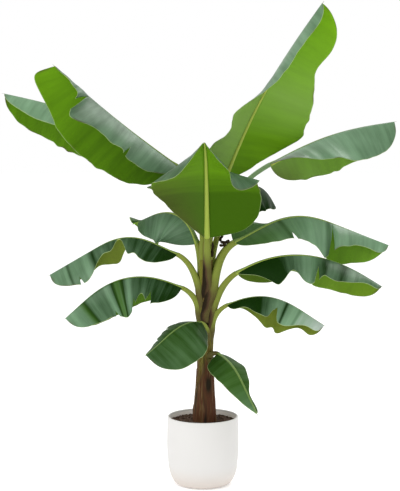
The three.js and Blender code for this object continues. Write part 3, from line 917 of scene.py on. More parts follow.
def half_fold(half, x, share, passed):
    """Angle to the level, in radians; passed counts the tears that lie behind."""
    fold = through(half.fold, x) + MARGIN_ROLL * (1 - 2 * share) + added(half.droops, x) * share
    for number, tear in enumerate(half.tears):
        opened = opened_by(tear, share)
        beyond = 1.0 if number < passed else 0.0
        smooth = ease((x - tear.place) / TEAR_SOFTNESS + 0.5)
        fold = fold + tear.turn * (smooth * (1 - opened) + beyond * opened)
        fold = fold - LIP_DROOP * opened * np.exp(-np.abs(x - tear.place) / LIP_REACH)
    return np.radians(fold)


def half_ripple(leaf, sign, x, width, seed):
    """Height of the long waves and of the pleats along the veins, over the middle surface."""
    depth, count, phase = leaf.wave
    if sign > 0:
        phase = phase + LEFT_PHASE
    wave = depth * SHARES**3 * width / leaf.width * np.sin(FULL_TURN * (count * x + phase))
    length = x * leaf.blade
    pleat = wander(length, PLEAT_KNOTS, seed + 1) + FINE_PLEAT * wander(length, FINE_PLEAT_KNOTS, seed + 2)
    fade = SHARES**0.6 * np.minimum(1, width / FULL_PLEAT_WIDTH)
    return wave + sizes().pleat_depth / MM * pleat * fade


def half_points(limb, half, sign, x, passed, seed):
    """Middle surface of one half blade on a grid of places along it and shares across it."""
    leaf = limb.leaf
    x = x[:, None]
    share = SHARES[None, :]
    out_x = x + 0 * share
    for number, tear in enumerate(half.tears):
        away = 1 if number < passed else -1
        lip = np.exp(-np.abs(x - tear.place) / (LIP_SPREAD * tear.gap))
        out_x = out_x + away * tear.gap * opened_by(tear, share) * lip
    out_x = np.clip(out_x, 0, 1)
    forward, left, up = limb.frames(np.ones_like(out_x), out_x)
    out = sign * left
    waver = MARGIN_WAVER * wander(out_x * leaf.blade, MARGIN_KNOTS, seed)
    width = half_width(leaf, half, out_x) * (1 + waver)
    steps = np.diff(share)
    fold = half_fold(half, x, (share[:, 1:] + share[:, :-1]) / 2, passed)
    level = np.concatenate([0 * x, np.cumsum(np.cos(fold) * steps, axis=1)], axis=1)
    drop = np.concatenate([0 * x, np.cumsum(np.sin(fold) * steps, axis=1)], axis=1)
    at_fold = half_fold(half, x, share, passed)[..., None]
    normal = up * np.cos(at_fold) - out * np.sin(at_fold)
    rib_edge = BLADE_START * (RIB_HALF - RIB_TAPER * out_x)
    slant = half.slant * (1 - out_x) + added(half.leans, out_x)
    points = limb.point_on(limb.rib, out_x)
    points = points + (rib_edge + width * level)[..., None] * out + (width * drop)[..., None] * up
    points = points + (slant * width * share)[..., None] * forward
    points = points + half_ripple(leaf, sign, out_x, width, seed)[..., None] * normal
    return points, out_x, width


def strip_places(start, end):
    """Places along the blade between two cuts, closer together toward its foot and its tip."""
    columns = max(FEWEST_COLUMNS, round(sizes().columns * (end - start)))
    steps = np.linspace(0, 1, columns + 1)
    if start == 0 and end == 1:
        steps = (1 - np.cos(math.pi * steps)) / 2
    elif start == 0:
        steps = 1 - np.cos(math.pi / 2 * steps)
    elif end == 1:
        steps = np.sin(math.pi / 2 * steps)
    return start + (end - start) * steps


def blade_values(leaf, half, x, width, seed):
    """What the finishes read at each point of a half blade. Lengths are in metres."""
    share = SHARES[None, :]
    tip = ease((x - WITHERED_FROM) / (1 - WITHERED_FROM)) * ease((share - 0.2) / 0.5)
    spots = np.clip(2 * wander(x * leaf.blade, SPOT_KNOTS, seed + 3) - 0.9, 0, 1)
    spots = spots * ease((share - SPOTS_FROM) / (1 - SPOTS_FROM))
    withered = np.maximum(TIP_DRYNESS * tip, SPOT_DRYNESS * spots)
    return {
        "along": x * leaf.blade * MM,
        "across": share * width * MM,
        "edge": (1 - share) * width * MM,
        # Wax with its painted sheen and painted shade, and painted streaks of both along the pleats.
        "bloom": toned(half.bloom, x) + added(half.streaks, x),
        "fresh": added(half.fresh, x),
        "glow": toned(half.glow, x),
        "frost": toned(half.frost, x),
        "olive": toned(half.olive, x),
        "dry": np.maximum(withered, toned(half.stain, x) * share),
    }


def half_blade(shell, limb, sign, seed):
    """Adds one half blade: a thin closed sheet, slit along the veins at its tears."""
    leaf = limb.leaf
    half = leaf.left if sign > 0 else leaf.right
    cuts = [0, *(tear.place for tear in half.tears), 1]
    roots = [0, *(int(np.sum(SHARES <= 1 - tear.depth)) for tear in half.tears), 0]
    thick = sizes().blade_thickness / MM / 2 * (1 - EDGE_THINNING * SHARES)[None, :, None]
    before = None
    for passed, (start, end) in enumerate(zip(cuts, cuts[1:])):
        points, x, width = half_points(limb, half, sign, strip_places(start, end), passed, seed)
        normal = sign * unit(np.cross(np.gradient(points, axis=0), np.gradient(points, axis=1)))
        values = blade_values(leaf, half, x, width, seed)
        upper = shell.add(points + normal * thick, **values)
        lower = shell.add(points - normal * thick, **values)
        if before:
            joined = roots[passed]
            upper[0, :joined] = before[0][-1, :joined]
            lower[0, :joined] = before[1][-1, :joined]
        near = max(roots[passed] - 1, 0)
        far = max(roots[passed + 1] - 1, 0)
        sheet = (
            (grid_faces(upper), UPPER),
            (grid_faces(lower)[:, ::-1], UNDER),
            (edge_faces(upper[:, -1], lower[:, -1]), MARGIN),
            (edge_faces(lower[:, 0], upper[:, 0]), MARGIN),
            (edge_faces(upper[0, near:], lower[0, near:]), MARGIN),
            (edge_faces(upper[-1, far:], lower[-1, far:])[:, ::-1], MARGIN),
        )
        for faces, finish in sheet:
            shell.cover(faces if sign > 0 else faces[:, ::-1], finish)
        before = (upper, lower)


def ring_points(centre, forward, upward, wide, high, groove, turns, flat_top=None):
    """Rings of a grooved stalk: round below, with a channel along the upper side."""
    across = unit(np.cross(upward, forward))
    up = np.cross(forward, across)
    from_top = np.arccos(np.clip(np.sin(turns), -1, 1))
    reach = 1 - groove[:, None] * bump(from_top, 0, CHANNEL_REACH)[None, :]
    rise = np.sin(turns)[None, :] * reach
    if flat_top is not None:
        rise = np.where(rise > 0, rise * flat_top[:, None], rise)
    spread = (np.cos(turns)[None, :] * reach * wide[:, None])[..., None] * across[:, None, :]
    return centre[:, None, :] + spread + (rise * high[:, None])[..., None] * up[:, None, :]


def rib_tube(shell, limb):
    """Adds the rib, which goes on from the petiole and ends in a withered thread beyond the tip."""
    x = np.sin(math.pi / 2 * np.linspace(0, 1, RIB_ROWS))
    forward, _, up = limb.frames(np.ones_like(x), x)
    tip = np.maximum(x - WITHERED_FROM, 0) / (1 - WITHERED_FROM)
    centre = limb.point_on(limb.rib, x) + forward * (tip * THREAD_LENGTH)[:, None]
    centre[0] -= forward[0] * RIB_OVERLAP
    end = PETIOLE_END_RADIUS * limb.girth
    rib = RIB_RADIUS * limb.girth
    wide = np.interp(x, (0, 0.12, 1), (end, rib, RIB_TIP_WIDE)) * (1 - 0.8 * tip**2)
    high = np.interp(x, (0, 0.15, 1), (end, 0.95 * rib, RIB_TIP_HIGH)) * (1 - 0.7 * tip**2)
    flat_top = np.interp(x, (0, 0.06, 1), (0.9, 0.4, 0.4))
    groove = np.full(RIB_ROWS, RIB_GROOVE)
    turns = turns_round(RIB_SIDES)
    shell.tube(
        ring_points(centre, forward, up, wide, high, groove, turns, flat_top), RIB,
        along=(x * limb.leaf.blade * MM)[:, None],
        across=(turns * end * MM)[None, :],
        # Full on the rib's top and fading down its sides, where it paints shade; none underneath.
        bloom=0.85 * np.clip(np.sin(turns) + 0.4, 0, 1)[None, :],
        dry=ease((x - THREAD_FROM) / (1 - THREAD_FROM))[:, None],
    )


def make_blades():
    materials = [upper_finish(), under_finish(), margin_finish(), rib_finish()]
    for number, leaf in enumerate(LEAVES):
        limb = Limb(leaf)
        shell = Shell("along", "across", "edge", "bloom", "fresh", "glow", "frost", "olive", "dry")
        half_blade(shell, limb, 1, LEFT_SEED + number * SEED_STEP)
        half_blade(shell, limb, -1, RIGHT_SEED + number * SEED_STEP)
        rib_tube(shell, limb)
        shell.piece(f"{leaf.name}_lamina", materials, leaf.nodes())


# Petioles.

PETIOLE_SIDES = 26
PETIOLE_ROWS = 46

# Sheath below a petiole: rows, least run down the stem, run in the core and depth of its end in millimetres.
SHEATH_ROWS = 21
SHEATH_RUN = 60
CORE_RUN = 55
SHEATH_DEPTH = 2.5

# Dark seam down some petioles: sway and reach round the stalk in degrees; knots and shift in millimetres.
PETIOLE_SEAM_SWAY = 12
PETIOLE_SEAM_REACH = 30
PETIOLE_SEAM_KNOTS = 25
PETIOLE_SEAM_SHIFT = 300
PETIOLE_SEAM_SEED = 350

# Dried strips: rows and sides, thickness in millimetres, and how brown they are.
SCRAP_ROWS = 13
SCRAP_SIDES = 10
SCRAP_THICKNESS = 1.8
SCRAP_DRYNESS = 1.6


def petiole_rings(limb):
    """Rows of a petiole, from where it leaves the stem as part of a sheath to the foot of the blade."""
    leaf = limb.leaf
    x = np.linspace(0, 1, PETIOLE_ROWS)
    forward, _, up = limb.frames(x, 0 * x)
    down = np.linspace(1, 0, SHEATH_ROWS + 1)[:-1]
    run = CORE_RUN if limb.core else leaf.sheath + SHEATH_RUN
    z = limb.foot - run * down
    if limb.core:
        foot_radius = CORE_RADIUS
        seat = CORE_SEAT
        sunk = 0 * down
        foot_up = up[0]
        upward = up
    else:
        foot_radius = PETIOLE_RADIUS
        seat = OUTER_SEAT * stem_radius(z)
        sunk = down
        foot_up = -limb.side
        turned = ease(x * 4)[:, None]
        upward = foot_up * (1 - turned) + up * turned
    radius = (foot_radius + (PETIOLE_END_RADIUS - foot_radius) * x**0.8) * limb.girth
    below = radius[0] * (1 - 0.25 * sunk)
    settled = ease(sunk * 1.15)
    reach = seat * (1 - settled) + (stem_radius(z) - below - SHEATH_DEPTH) * settled
    sheath = stem_centre(z) + limb.side * reach[:, None]
    centre = np.concatenate([sheath, limb.point_on(limb.stalk, x)])
    forward = np.concatenate([np.tile([0.0, 0.0, 1.0], (SHEATH_ROWS, 1)), forward])
    upward = np.concatenate([np.tile(foot_up, (SHEATH_ROWS, 1)), upward])
    wide = np.concatenate([below * (1 + 0.5 * sunk), radius])
    high = np.concatenate([below, radius])
    place = np.concatenate([-down * run / leaf.petiole, x])
    return centre, forward, upward, wide, high, place


def petiole_dryness(leaf, place, turns):
    """How brown a petiole is: along its lips, where it is old, and down its seam where it has one."""
    place = place[:, None]
    lips = bump(np.sin(turns), 0.85, 0.14)[None, :] * ease((0.6 - place) / 0.8)
    old = ease((leaf.aged - place) / 0.5)
    dry = np.clip(0.8 * lips + 0.8 * old, 0, 1)
    if leaf.seam is not None:
        length = place * leaf.petiole + PETIOLE_SEAM_SHIFT
        sway = PETIOLE_SEAM_SWAY * wander(length, PETIOLE_SEAM_KNOTS, PETIOLE_SEAM_SEED)
        from_seam = np.degrees(turns)[None, :] - leaf.seam + sway
        dry = dry + 1.4 * bump(from_seam, 0, PETIOLE_SEAM_REACH) * old
    return dry


def scrap_rings(limb, scrap):
    """Rings of a dried strip that hangs off a petiole and curls as it dries."""
    steps = np.linspace(0, 1, SCRAP_ROWS)
    slope = np.radians(scrap.slope + scrap.curl * steps**1.5)
    along = np.stack([np.cos(slope), 0 * slope, np.sin(slope)], axis=-1)
    line = np.cumsum(along * scrap.length / SCRAP_ROWS, axis=0)
    centre = limb.point_on(limb.stalk, scrap.place) + scrap.root + line
    turns = turns_round(SCRAP_SIDES)
    width = scrap.half_width * (1 - 0.75 * steps**4) * (1 + 0.25 * np.sin(9 * steps))
    across = np.stack([-np.sin(slope), 0.5 * np.sin(5 * steps), np.cos(slope)], axis=-1)
    spread = (np.cos(turns)[None, :] * width[:, None])[..., None] * across[:, None, :]
    thick = np.sin(turns)[None, :, None] * np.array([0, -SCRAP_THICKNESS, 0])
    return centre[:, None, :] + spread + thick


def make_petioles():
    material = petiole_finish()
    turns = turns_round(PETIOLE_SIDES)
    for leaf in LEAVES:
        limb = Limb(leaf)
        centre, forward, upward, wide, high, place = petiole_rings(limb)
        groove = np.interp(place, (-0.2, 0.3, 1), (0.25, 0.6, 0.5))
        shell = Shell("along", "across", "dry", "bloom")
        shell.tube(
            ring_points(centre, forward, upward, wide, high, groove, turns),
            along=(place * leaf.petiole * MM)[:, None],
            across=(turns * PETIOLE_RADIUS * MM)[None, :],
            dry=petiole_dryness(leaf, place, turns),
            # Bluish wax with a painted sheen, toward the petiole's end.
            bloom=leaf.wax_sheen * ease(place * 2)[:, None],
        )
        for scrap in leaf.scraps:
            shell.tube(scrap_rings(limb, scrap), dry=SCRAP_DRYNESS)
        shell.piece(f"{leaf.name}_stalk", [material], [f"{leaf.name}_petiole"])


# Pseudostem.

STEM_SIDES = 168
STEM_ROWS = 230
STEM_FOOT_DEPTH = 9

# Rounded top of the stem: heights above it and shares of its radius.
DOME_HEIGHTS = (3, 5, 6)
DOME_SHARES = (0.92, 0.7, 0.35)

# Green of the stem: height where it starts and its run in millimetres, and what a sheath adds or takes.
GREEN_FROM = 300
GREEN_RUN = 330
SHEATH_TINT = 0.1

# Sheaths: half angle at the leaf in degrees, its gain over a run down the stem, and waver of the edge.
SHEATH_HALF_ANGLE = 36
SHEATH_GAIN = 112
SHEATH_GAIN_RUN = 240
SHEATH_WAVER = 7
SHEATH_KNOTS = 45
SHEATH_SEED = 300

# Edges of the sheaths, in millimetres: width of the step and of the dry line, and how far down they fade in.
SHEATH_STEP = 2.4
SHEATH_EDGE = 1.7
STEP_FADE = 14
EDGE_FADE = 30

# Seam up the front, with a crack in it and a scar low down: angles in degrees, heights in millimetres.
SEAM_TURN = -72
SEAM_REACH = 38
SEAM_SWAY = 9
SEAM_KNOTS = 40
SEAM_SEED = 330
SEAM_FROM = 470
SEAM_FOOT_FADE = 50
SEAM_TOP_FADE = 60
CRACK_OFFSET = -8
CRACK_REACH = 11
CRACK_DARKNESS = 1.2
SCAR_HEIGHT = 318
SCAR_REACH = 15
SCAR_RUN = 24
SCAR_SWAY = 0.6
SCAR_DARKNESS = 1.6

# Fibres up the stem: rows of random ribs, and height, knots, radius and shift in millimetres.
FIBRE_ROWS = 6
FIBRE_SEED = 400
FIBRE_HEIGHT = 0.45
FIBRE_KNOTS = 1.4
FIBRE_RADIUS = 30
FIBRE_SHIFT = 40


def stem_finish():
    look = colours()
    finish = Finish("stem_sheaths", Specular_IOR_Level=0.1)
    fibres = finish.noise(finish.stretched(260, 260, 9), 1.0, 4.0)
    streaks = finish.noise(finish.stretched(70, 70, 4), 1.0, 3.0)
    patches = finish.noise(finish.stretched(26, 26, 12), 1.0, 3.0)
    green = finish.reads("green") + (streaks - 0.5) * 0.8 + (patches - 0.5) * 0.5
    colour = finish.blend(green, look.stem_brown, look.stem_olive)
    colour = finish.blend(finish.band(fibres, 0.5, 0.72) * 0.4, colour, look.stem_pale)
    dark = finish.band(streaks, 0.56, 0.72) * (1 - finish.reads("green")) * 0.9
    colour = finish.blend(dark, colour, look.stem_dark)
    colour = finish.blend(finish.reads("margin") * 0.85, colour, look.dry)
    colour = finish.blend(finish.reads("scar") * (0.5 + fibres), colour, look.charred)
    normal = finish.relief(fibres * 0.7 + streaks * 0.5, 0.6, 0.0015)
    return finish.made(colour, 0.42 + fibres * 0.35, normal)


def sheath_layers(z, turns, radius):
    """How many sheaths lie over each place of the stem, how dry their edges are and how green they are."""
    layers = np.zeros((len(z), len(turns)))
    margin = np.zeros_like(layers)
    hidden = np.zeros_like(layers)
    green = ease((z - GREEN_FROM) / GREEN_RUN)[:, None] * np.ones_like(layers)
    outer = sorted((leaf for leaf in LEAVES if leaf.start), key=lambda leaf: leaf.start)
    for number, leaf in enumerate(outer):
        below = (leaf.start - z)[:, None]
        waver = SHEATH_WAVER * wander(z, SHEATH_KNOTS, SHEATH_SEED + number)[:, None]
        span = np.radians(SHEATH_HALF_ANGLE + SHEATH_GAIN * ease(below / SHEATH_GAIN_RUN) + waver)
        inside = (span - np.abs(turned_from(turns, leaf.seat))[None, :]) * radius[:, None]
        covered = ease(inside / SHEATH_STEP + 0.5) * ease(below / STEP_FADE)
        edge = bump(inside, 0, SHEATH_EDGE) * ease(below / EDGE_FADE)
        margin = np.maximum(margin, edge * (1 - hidden))
        hidden = np.maximum(hidden, covered)
        layers = layers + covered
        green = green + covered * (SHEATH_TINT if number % 2 else -SHEATH_TINT)
    return layers, margin, green


def stem_seam(z, turns):
    """Browning along the seam up the front, and the black crack and scar in it."""
    from_seam = np.degrees(turned_from(turns, SEAM_TURN))[None, :]
    sway = SEAM_SWAY * wander(z, SEAM_KNOTS, SEAM_SEED)[:, None]
    height = (ease((z - SEAM_FROM) / SEAM_FOOT_FADE) * ease((STEM_TOP - z) / SEAM_TOP_FADE))[:, None]
    browned = bump(from_seam + sway, 0, SEAM_REACH) * height
    crack = bump(from_seam + sway, CRACK_OFFSET, CRACK_REACH) * height
    scar = bump(from_seam + SCAR_SWAY * sway, 0, SCAR_REACH) * bump(z, SCAR_HEIGHT, SCAR_RUN)[:, None]
    return browned, np.maximum(SCAR_DARKNESS * scar, CRACK_DARKNESS * crack)


def stem_fibres(z, turns):
    """Fine ribs up the stem, which drift from one row of random ribs to the next."""
    round_stem = turns * FIBRE_RADIUS + FIBRE_SHIFT
    ribs = np.stack([wander(round_stem, FIBRE_KNOTS, FIBRE_SEED + row) for row in range(FIBRE_ROWS)])
    drift = np.linspace(0, FIBRE_ROWS - 1, len(z))
    first = np.minimum(np.floor(drift).astype(int), FIBRE_ROWS - 2)
    share = (drift - first)[:, None]
    closing = bump(np.minimum(turns, FULL_TURN - turns), 0, 0.1)[None, :]
    return (ribs[first] * (1 - share) + ribs[first + 1] * share) * (1 - closing)


def make_stem():
    turns = turns_round(STEM_SIDES)
    rows = np.linspace(SOIL_LEVEL - STEM_FOOT_DEPTH, STEM_TOP, STEM_ROWS)
    z = np.concatenate([rows, STEM_TOP + np.array(DOME_HEIGHTS)])
    shrink = np.concatenate([np.ones(STEM_ROWS), DOME_SHARES])
    radius = stem_radius(np.minimum(z, STEM_TOP))
    layers, margin, green = sheath_layers(z, turns, radius)
    browned, scar = stem_seam(z, turns)
    steps = (layers - layers.mean(axis=1, keepdims=True)) * sizes().sheath_thickness / MM
    reach = (radius[:, None] + steps + FIBRE_HEIGHT * stem_fibres(z, turns)) * shrink[:, None]
    around = np.stack([np.cos(turns), np.sin(turns), 0 * turns], axis=-1)
    rings = stem_centre(z)[:, None, :] + reach[..., None] * around[None, :, :]
    shell = Shell("green", "margin", "scar")
    shell.tube(rings, green=green - 1.2 * browned, margin=np.maximum(margin, 0.75 * browned), scar=scar)
    shell.piece("sheathed_stem", [stem_finish()], ["pseudostem"])


# Pot.

POT_SIDES = 144
POT_WALL_ROWS = 44
POT_RIM_STEPS = 9

# Underside with its rounded edge, and the floor inside with its fillet: radii and heights in millimetres.
POT_CAP = 8
POT_BASE = ((POT_CAP, 0), (40, 0), (66, 0), (72, 0.15), (73.6, 0.8))
POT_BASE_EDGE = 1.2
POT_FLOOR_RING = 30
POT_FILLET = ((5, 1), (12, 0))
POT_FILLET_HEIGHT = 6


def pot_wall():
    """The pot's outer profile: a smooth line through the named points."""
    points = np.array(POT_WALL_POINTS, float)
    padded = np.concatenate([2 * points[:1] - points[1:2], points, 2 * points[-1:] - points[-2:-1]])
    rows = []
    for place in np.linspace(0, len(points) - 1, POT_WALL_ROWS):
        first = min(int(place), len(points) - 2)
        t = place - first
        a, b, c, d = padded[first : first + 4]
        bent = (2 * a - 5 * b + 4 * c - d) * t**2 + (3 * b - a - 3 * c + d) * t**3
        rows.append((2 * b + (c - a) * t + bent) / 2)
    return np.array(rows)


def turned_rings(profile, sides):
    """Rings round the upright axis from a profile of radii and heights."""
    turns = turns_round(sides)
    around = np.stack([np.cos(turns), np.sin(turns)], axis=-1)
    level = profile[:, 0][:, None, None] * around[None, :, :]
    height = np.broadcast_to(profile[:, 1][:, None, None], (len(profile), sides, 1))
    return np.concatenate([level, height], axis=-1)


def pot_finish():
    look = colours()
    finish = Finish("pot_matte", Specular_IOR_Level=0.3)
    grain = finish.noise(finish.place(), 900.0, 3.0)
    clouds = finish.noise(finish.place(), 11.0, 3.0)
    height = finish.node("ShaderNodeSeparateXYZ", None, {0: finish.place()}, output="Z")
    # Painted shade, warm and darker, over the lowest 75 mm of the pot.
    foot_shade = 1 - finish.band(height, 0.0, 0.075)
    colour = finish.blend(clouds * 0.25, look.pot, look.pot_cloud)
    colour = finish.blend(foot_shade * 0.55, colour, look.pot_foot_shade)
    # Painted light on the inner wall, which lifts its shade.
    colour = finish.blend(finish.reads("inside"), colour, look.pot_inside_lit)
    normal = finish.relief(grain * 0.5 + clouds * 0.5, 0.12, 0.0006)
    return finish.made(colour, 0.5 + grain * 0.2, normal)


def make_pot():
    rim_radius, rim_height = POT_WALL_POINTS[-1]
    half = POT_THICKNESS / 2
    wall = pot_wall()
    wall = wall[wall[:, 1] < rim_height - half]
    base = np.array(POT_BASE)
    outer = wall[wall[:, 1] > POT_BASE_EDGE]
    turns = np.linspace(0, math.pi, POT_RIM_STEPS)
    rim = half * np.stack([np.cos(turns), np.sin(turns)], axis=-1) + (rim_radius - half, rim_height - half)
    inner = wall[wall[:, 1] > POT_FLOOR + POT_FILLET_HEIGHT][::-1] - (POT_THICKNESS, 0)
    fillet = [(inner[-1][0] - step, POT_FLOOR + rise) for step, rise in POT_FILLET]
    floor = np.array([*fillet, (POT_FLOOR_RING, POT_FLOOR), (POT_CAP, POT_FLOOR)])
    profile = np.concatenate([base, outer, rim, inner, floor])
    inside = np.arange(len(profile)) >= len(base) + len(outer) + len(rim)
    shell = Shell("inside")
    shell.tube(turned_rings(profile, POT_SIDES), inside=inside[:, None].astype(float))
    shell.piece("round_pot", [pot_finish()], ["pot"])


# Soil.

SOIL_SIDES = 96
SOIL_ROWS = 34

# Profile up the pot's inside, rise over the solid, lumps, and mound round the stem, in millimetres.
SOIL_BASE = ((30, POT_FLOOR + 4), (84, POT_FLOOR + 6), (97, 45), (104.8, 110), (105.6, 170))
SOIL_RISE = 2.0
LUMP_HEIGHT = 1.5
MOUND_HEIGHT = 4
MOUND_RADIUS = 52

# Crumbs: sizes and rise in millimetres, share of the soil that they lie on, stretch, shape and roughness.
CRUMB_SEED = 7
CRUMB_SIZES = (1.8, 6.5)
CRUMB_RISE = 2.5
CRUMB_SPREAD = (0.14, 0.9)
CRUMB_STRETCH = (0.55, 1.15)
CRUMB_SHAPE = (1, 0.75, 0.6)
CRUMB_ROUGHNESS = (0.75, 1.25)

# Corners of a crumb of size 1: how many a ring has, the turn between them, and each ring's shift and height.
CRUMB_CORNERS = 5
CRUMB_TURN = 1.257
CRUMB_RINGS = ((0, 0.35), (0.63, -0.4))
CRUMB_GIRTH = 0.9


def soil_finish():
    look = colours()
    finish = Finish("potting_mix", Specular_IOR_Level=0.2)
    grain = finish.noise(finish.place(), 420.0, 4.0)
    clods = finish.noise(finish.place(), 90.0, 4.0)
    colour = finish.blend(finish.band(grain, 0.45, 0.7), look.soil, look.soil_bark)
    colour = finish.blend(finish.band(clods, 0.5, 0.75) * 0.7, colour, look.soil_wet)
    return finish.made(colour, 0.8 + grain * 0.15, finish.relief(grain * 0.6 + clods * 0.6, 0.9, 0.003))


def soil_mound(reach):
    """Height of the soil's mound round the stem, at a distance from the middle."""
    return MOUND_HEIGHT * bump(reach, 0, MOUND_RADIUS)


def soil_rings():
    """Rings of the soil, from inside the pot's floor up its wall and in over the lumpy top."""
    top = np.linspace(1, 0.04, SOIL_ROWS) ** 0.9 * SOIL_RADIUS
    rings = turned_rings(np.stack([top, np.full(SOIL_ROWS, SOIL_LEVEL)], axis=-1), SOIL_SIDES)
    one = rings[..., 0] * 0.11 + 3 * np.sin(rings[..., 1] * 0.07)
    other = rings[..., 1] * 0.13 + 3 * np.cos(rings[..., 0] * 0.06)
    lumps = wander(one + 200, 1, 11) + wander(other + 200, 1, 12)
    lumps = lumps + 0.6 * wander((one + other) * 2.3 + 400, 1, 13)
    rings[..., 2] += soil_mound(top)[:, None] + SOIL_RISE + LUMP_HEIGHT * lumps
    return np.concatenate([turned_rings(np.array(SOIL_BASE), SOIL_SIDES), rings])


def crumb_corners():
    """A rough ball: a top, two rings of corners and a bottom."""
    corners = [(0, 0, 1)]
    for shift, height in CRUMB_RINGS:
        for k in range(CRUMB_CORNERS):
            turn = k * CRUMB_TURN + shift
            corners.append((CRUMB_GIRTH * math.cos(turn), CRUMB_GIRTH * math.sin(turn), height))
    corners.append((0, 0, -1))
    return np.array(corners)


def crumb_faces(index):
    upper = index[1 : 1 + CRUMB_CORNERS]
    lower = index[1 + CRUMB_CORNERS : -1]
    faces = []
    for k in range(CRUMB_CORNERS):
        after = (k + 1) % CRUMB_CORNERS
        faces.append((index[0], upper[k], upper[after]))
        faces.append((upper[k], lower[k], upper[after]))
        faces.append((upper[after], lower[k], lower[after]))
        faces.append((index[-1], lower[after], lower[k]))
    return faces


def make_soil():
    rng = np.random.default_rng(CRUMB_SEED)
    shell = Shell()
    shell.tube(soil_rings())
    corners = crumb_corners()
    for _ in range(sizes().crumbs):
        turn = rng.uniform(0, FULL_TURN)
        reach = SOIL_RADIUS * math.sqrt(rng.uniform(*CRUMB_SPREAD))
        size = rng.uniform(*CRUMB_SIZES)
        shape = size * rng.uniform(*CRUMB_STRETCH, 3) * CRUMB_SHAPE
        spin = rng.uniform(0, FULL_TURN)
        crumb = corners * rng.uniform(*CRUMB_ROUGHNESS, (len(corners), 1)) * shape
        spun = np.array([[math.cos(spin), math.sin(spin)], [-math.sin(spin), math.cos(spin)]])
        crumb[:, :2] = crumb[:, :2] @ spun
        height = SOIL_LEVEL + CRUMB_RISE + soil_mound(reach) + 0.3 * size
        index = shell.add(crumb + (reach * math.cos(turn), reach * math.sin(turn), height))
        shell.cover(crumb_faces(index))
    shell.piece("potting_soil", [soil_finish()], ["soil"])


# Stage, in metres. The camera stands where the photograph was taken from.

FLOOR_SPAN = 60.0
KEY_PLACE = (-2.2, -2.6, 3.4)
KEY_AIM = (0, 0, 0.7)
KEY_SIZE = 2.6
BACK_PLACE = (1.6, 2.4, 3.0)
BACK_AIM = (0, 0, 0.9)
BACK_SIZE = 2.2
CAMERA_PLACE = (-0.009, -4.0, 1.1)
CAMERA_TILT = 5.0
FOCAL_PIXELS = 1295.0
PHOTO_HEIGHT = 491
SENSOR = 36.0


def area_light(name, place, aim, size, power):
    lamp = bpy.data.lights.new(name, "AREA")
    lamp.shape = "DISK"
    lamp.size = size
    lamp.energy = power
    x, y, z = np.subtract(aim, place)
    made = linked(name, lamp)
    made.location = place
    made.rotation_euler = (math.atan2(math.hypot(x, y), -z), 0, math.atan2(y, x) - math.pi / 2)


def make_floor(settings):
    half = FLOOR_SPAN / 2
    corners = [(-half, -half, 0), (half, -half, 0), (half, half, 0), (-half, half, 0)]
    mesh = bpy.data.meshes.new("floor")
    mesh.from_pydata(corners, [], [(0, 1, 2, 3)])
    finish = Finish(
        "pale_floor", Specular_IOR_Level=0.0,
        Emission_Color=(1, 1, 1, 1), Emission_Strength=settings.floor_glow,
    )
    clouds = finish.noise(finish.place(), 3.0)
    colour = finish.blend(clouds * 0.2, settings.floor, settings.floor_cloud)
    mesh.materials.append(finish.made(colour, 0.9))
    floor = linked("floor", mesh)


def make_stage():
    scene = bpy.context.scene
    settings = scene.banana_stage
    make_floor(settings)

    world = bpy.data.worlds.new("white_sky")
    world.use_nodes = True
    background = world.node_tree.nodes["Background"]
    background.inputs["Color"].default_value = (1, 1, 1, 1)
    background.inputs["Strength"].default_value = settings.sky
    scene.world = world

    area_light("key_light", KEY_PLACE, KEY_AIM, KEY_SIZE, settings.key)
    area_light("back_light", BACK_PLACE, BACK_AIM, BACK_SIZE, settings.back)

    camera = bpy.data.cameras.new("camera")
    camera.sensor_width = SENSOR
    camera.lens = FOCAL_PIXELS / PHOTO_HEIGHT * SENSOR
    made = linked("camera", camera)
    made.location = CAMERA_PLACE
    made.rotation_euler = (math.radians(90 - CAMERA_TILT), 0, 0)
    scene.camera = made
    scene.view_settings.view_transform = "Standard"


# Operators and panel.

class BANANA_OT_pot(Operator):
    """Make the round matte pot"""

    bl_idname = "banana.pot"
    bl_label = "Pot"

    def execute(self, context):
        make_pot()
        return {"FINISHED"}


class BANANA_OT_soil(Operator):
    """Make the potting mix with its crumbs"""

    bl_idname = "banana.soil"
    bl_label = "Soil"

    def execute(self, context):
        make_soil()
        return {"FINISHED"}


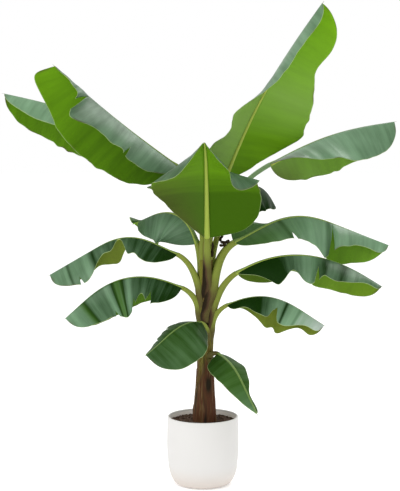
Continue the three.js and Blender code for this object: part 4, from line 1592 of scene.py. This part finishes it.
class BANANA_OT_stem(Operator):
    """Make the pseudostem with its overlapping sheaths"""

    bl_idname = "banana.stem"
    bl_label = "Stem"

    def execute(self, context):
        make_stem()
        return {"FINISHED"}


class BANANA_OT_petioles(Operator):
    """Make the grooved petioles"""

    bl_idname = "banana.petioles"
    bl_label = "Petioles"

    def execute(self, context):
        make_petioles()
        return {"FINISHED"}


class BANANA_OT_blades(Operator):
    """Make the leaf blades with their ribs and tears"""

    bl_idname = "banana.blades"
    bl_label = "Blades"

    def execute(self, context):
        make_blades()
        return {"FINISHED"}


class BANANA_OT_stage(Operator):
    """Make the floor, the light and the camera"""

    bl_idname = "banana.stage"
    bl_label = "Stage"

    def execute(self, context):
        make_stage()
        return {"FINISHED"}


class BANANA_PT_plant(Panel):
    """Sidebar panel with the plant's steps and settings"""

    bl_idname = "BANANA_PT_plant"
    bl_label = "Potted banana plant"
    bl_space_type = "VIEW_3D"
    bl_region_type = "UI"
    bl_category = "Banana plant"

    def draw(self, context):
        scene = context.scene
        for operator in OPERATORS:
            self.layout.operator(operator.bl_idname)
        for settings in (scene.banana_sizes, scene.banana_colours, scene.banana_stage):
            for key in settings.bl_rna.properties.keys():
                if key not in ("rna_type", "name"):
                    self.layout.prop(settings, key)


OPERATORS = (
    BANANA_OT_pot, BANANA_OT_soil, BANANA_OT_stem, BANANA_OT_petioles, BANANA_OT_blades, BANANA_OT_stage,
)
CLASSES = (PlantColours, PlantSizes, StageSettings, *OPERATORS, BANANA_PT_plant)


def register():
    for one in CLASSES:
        bpy.utils.register_class(one)
    bpy.types.Scene.banana_colours = PointerProperty(type=PlantColours)
    bpy.types.Scene.banana_sizes = PointerProperty(type=PlantSizes)
    bpy.types.Scene.banana_stage = PointerProperty(type=StageSettings)


def unregister():
    del bpy.types.Scene.banana_stage
    del bpy.types.Scene.banana_sizes
    del bpy.types.Scene.banana_colours
    for one in reversed(CLASSES):
        bpy.utils.unregister_class(one)


def main():
    register()
    bpy.ops.banana.pot()
    bpy.ops.banana.soil()
    bpy.ops.banana.stem()
    bpy.ops.banana.petioles()
    bpy.ops.banana.blades()
    bpy.ops.banana.stage()


if __name__ == "__main__":
    main()
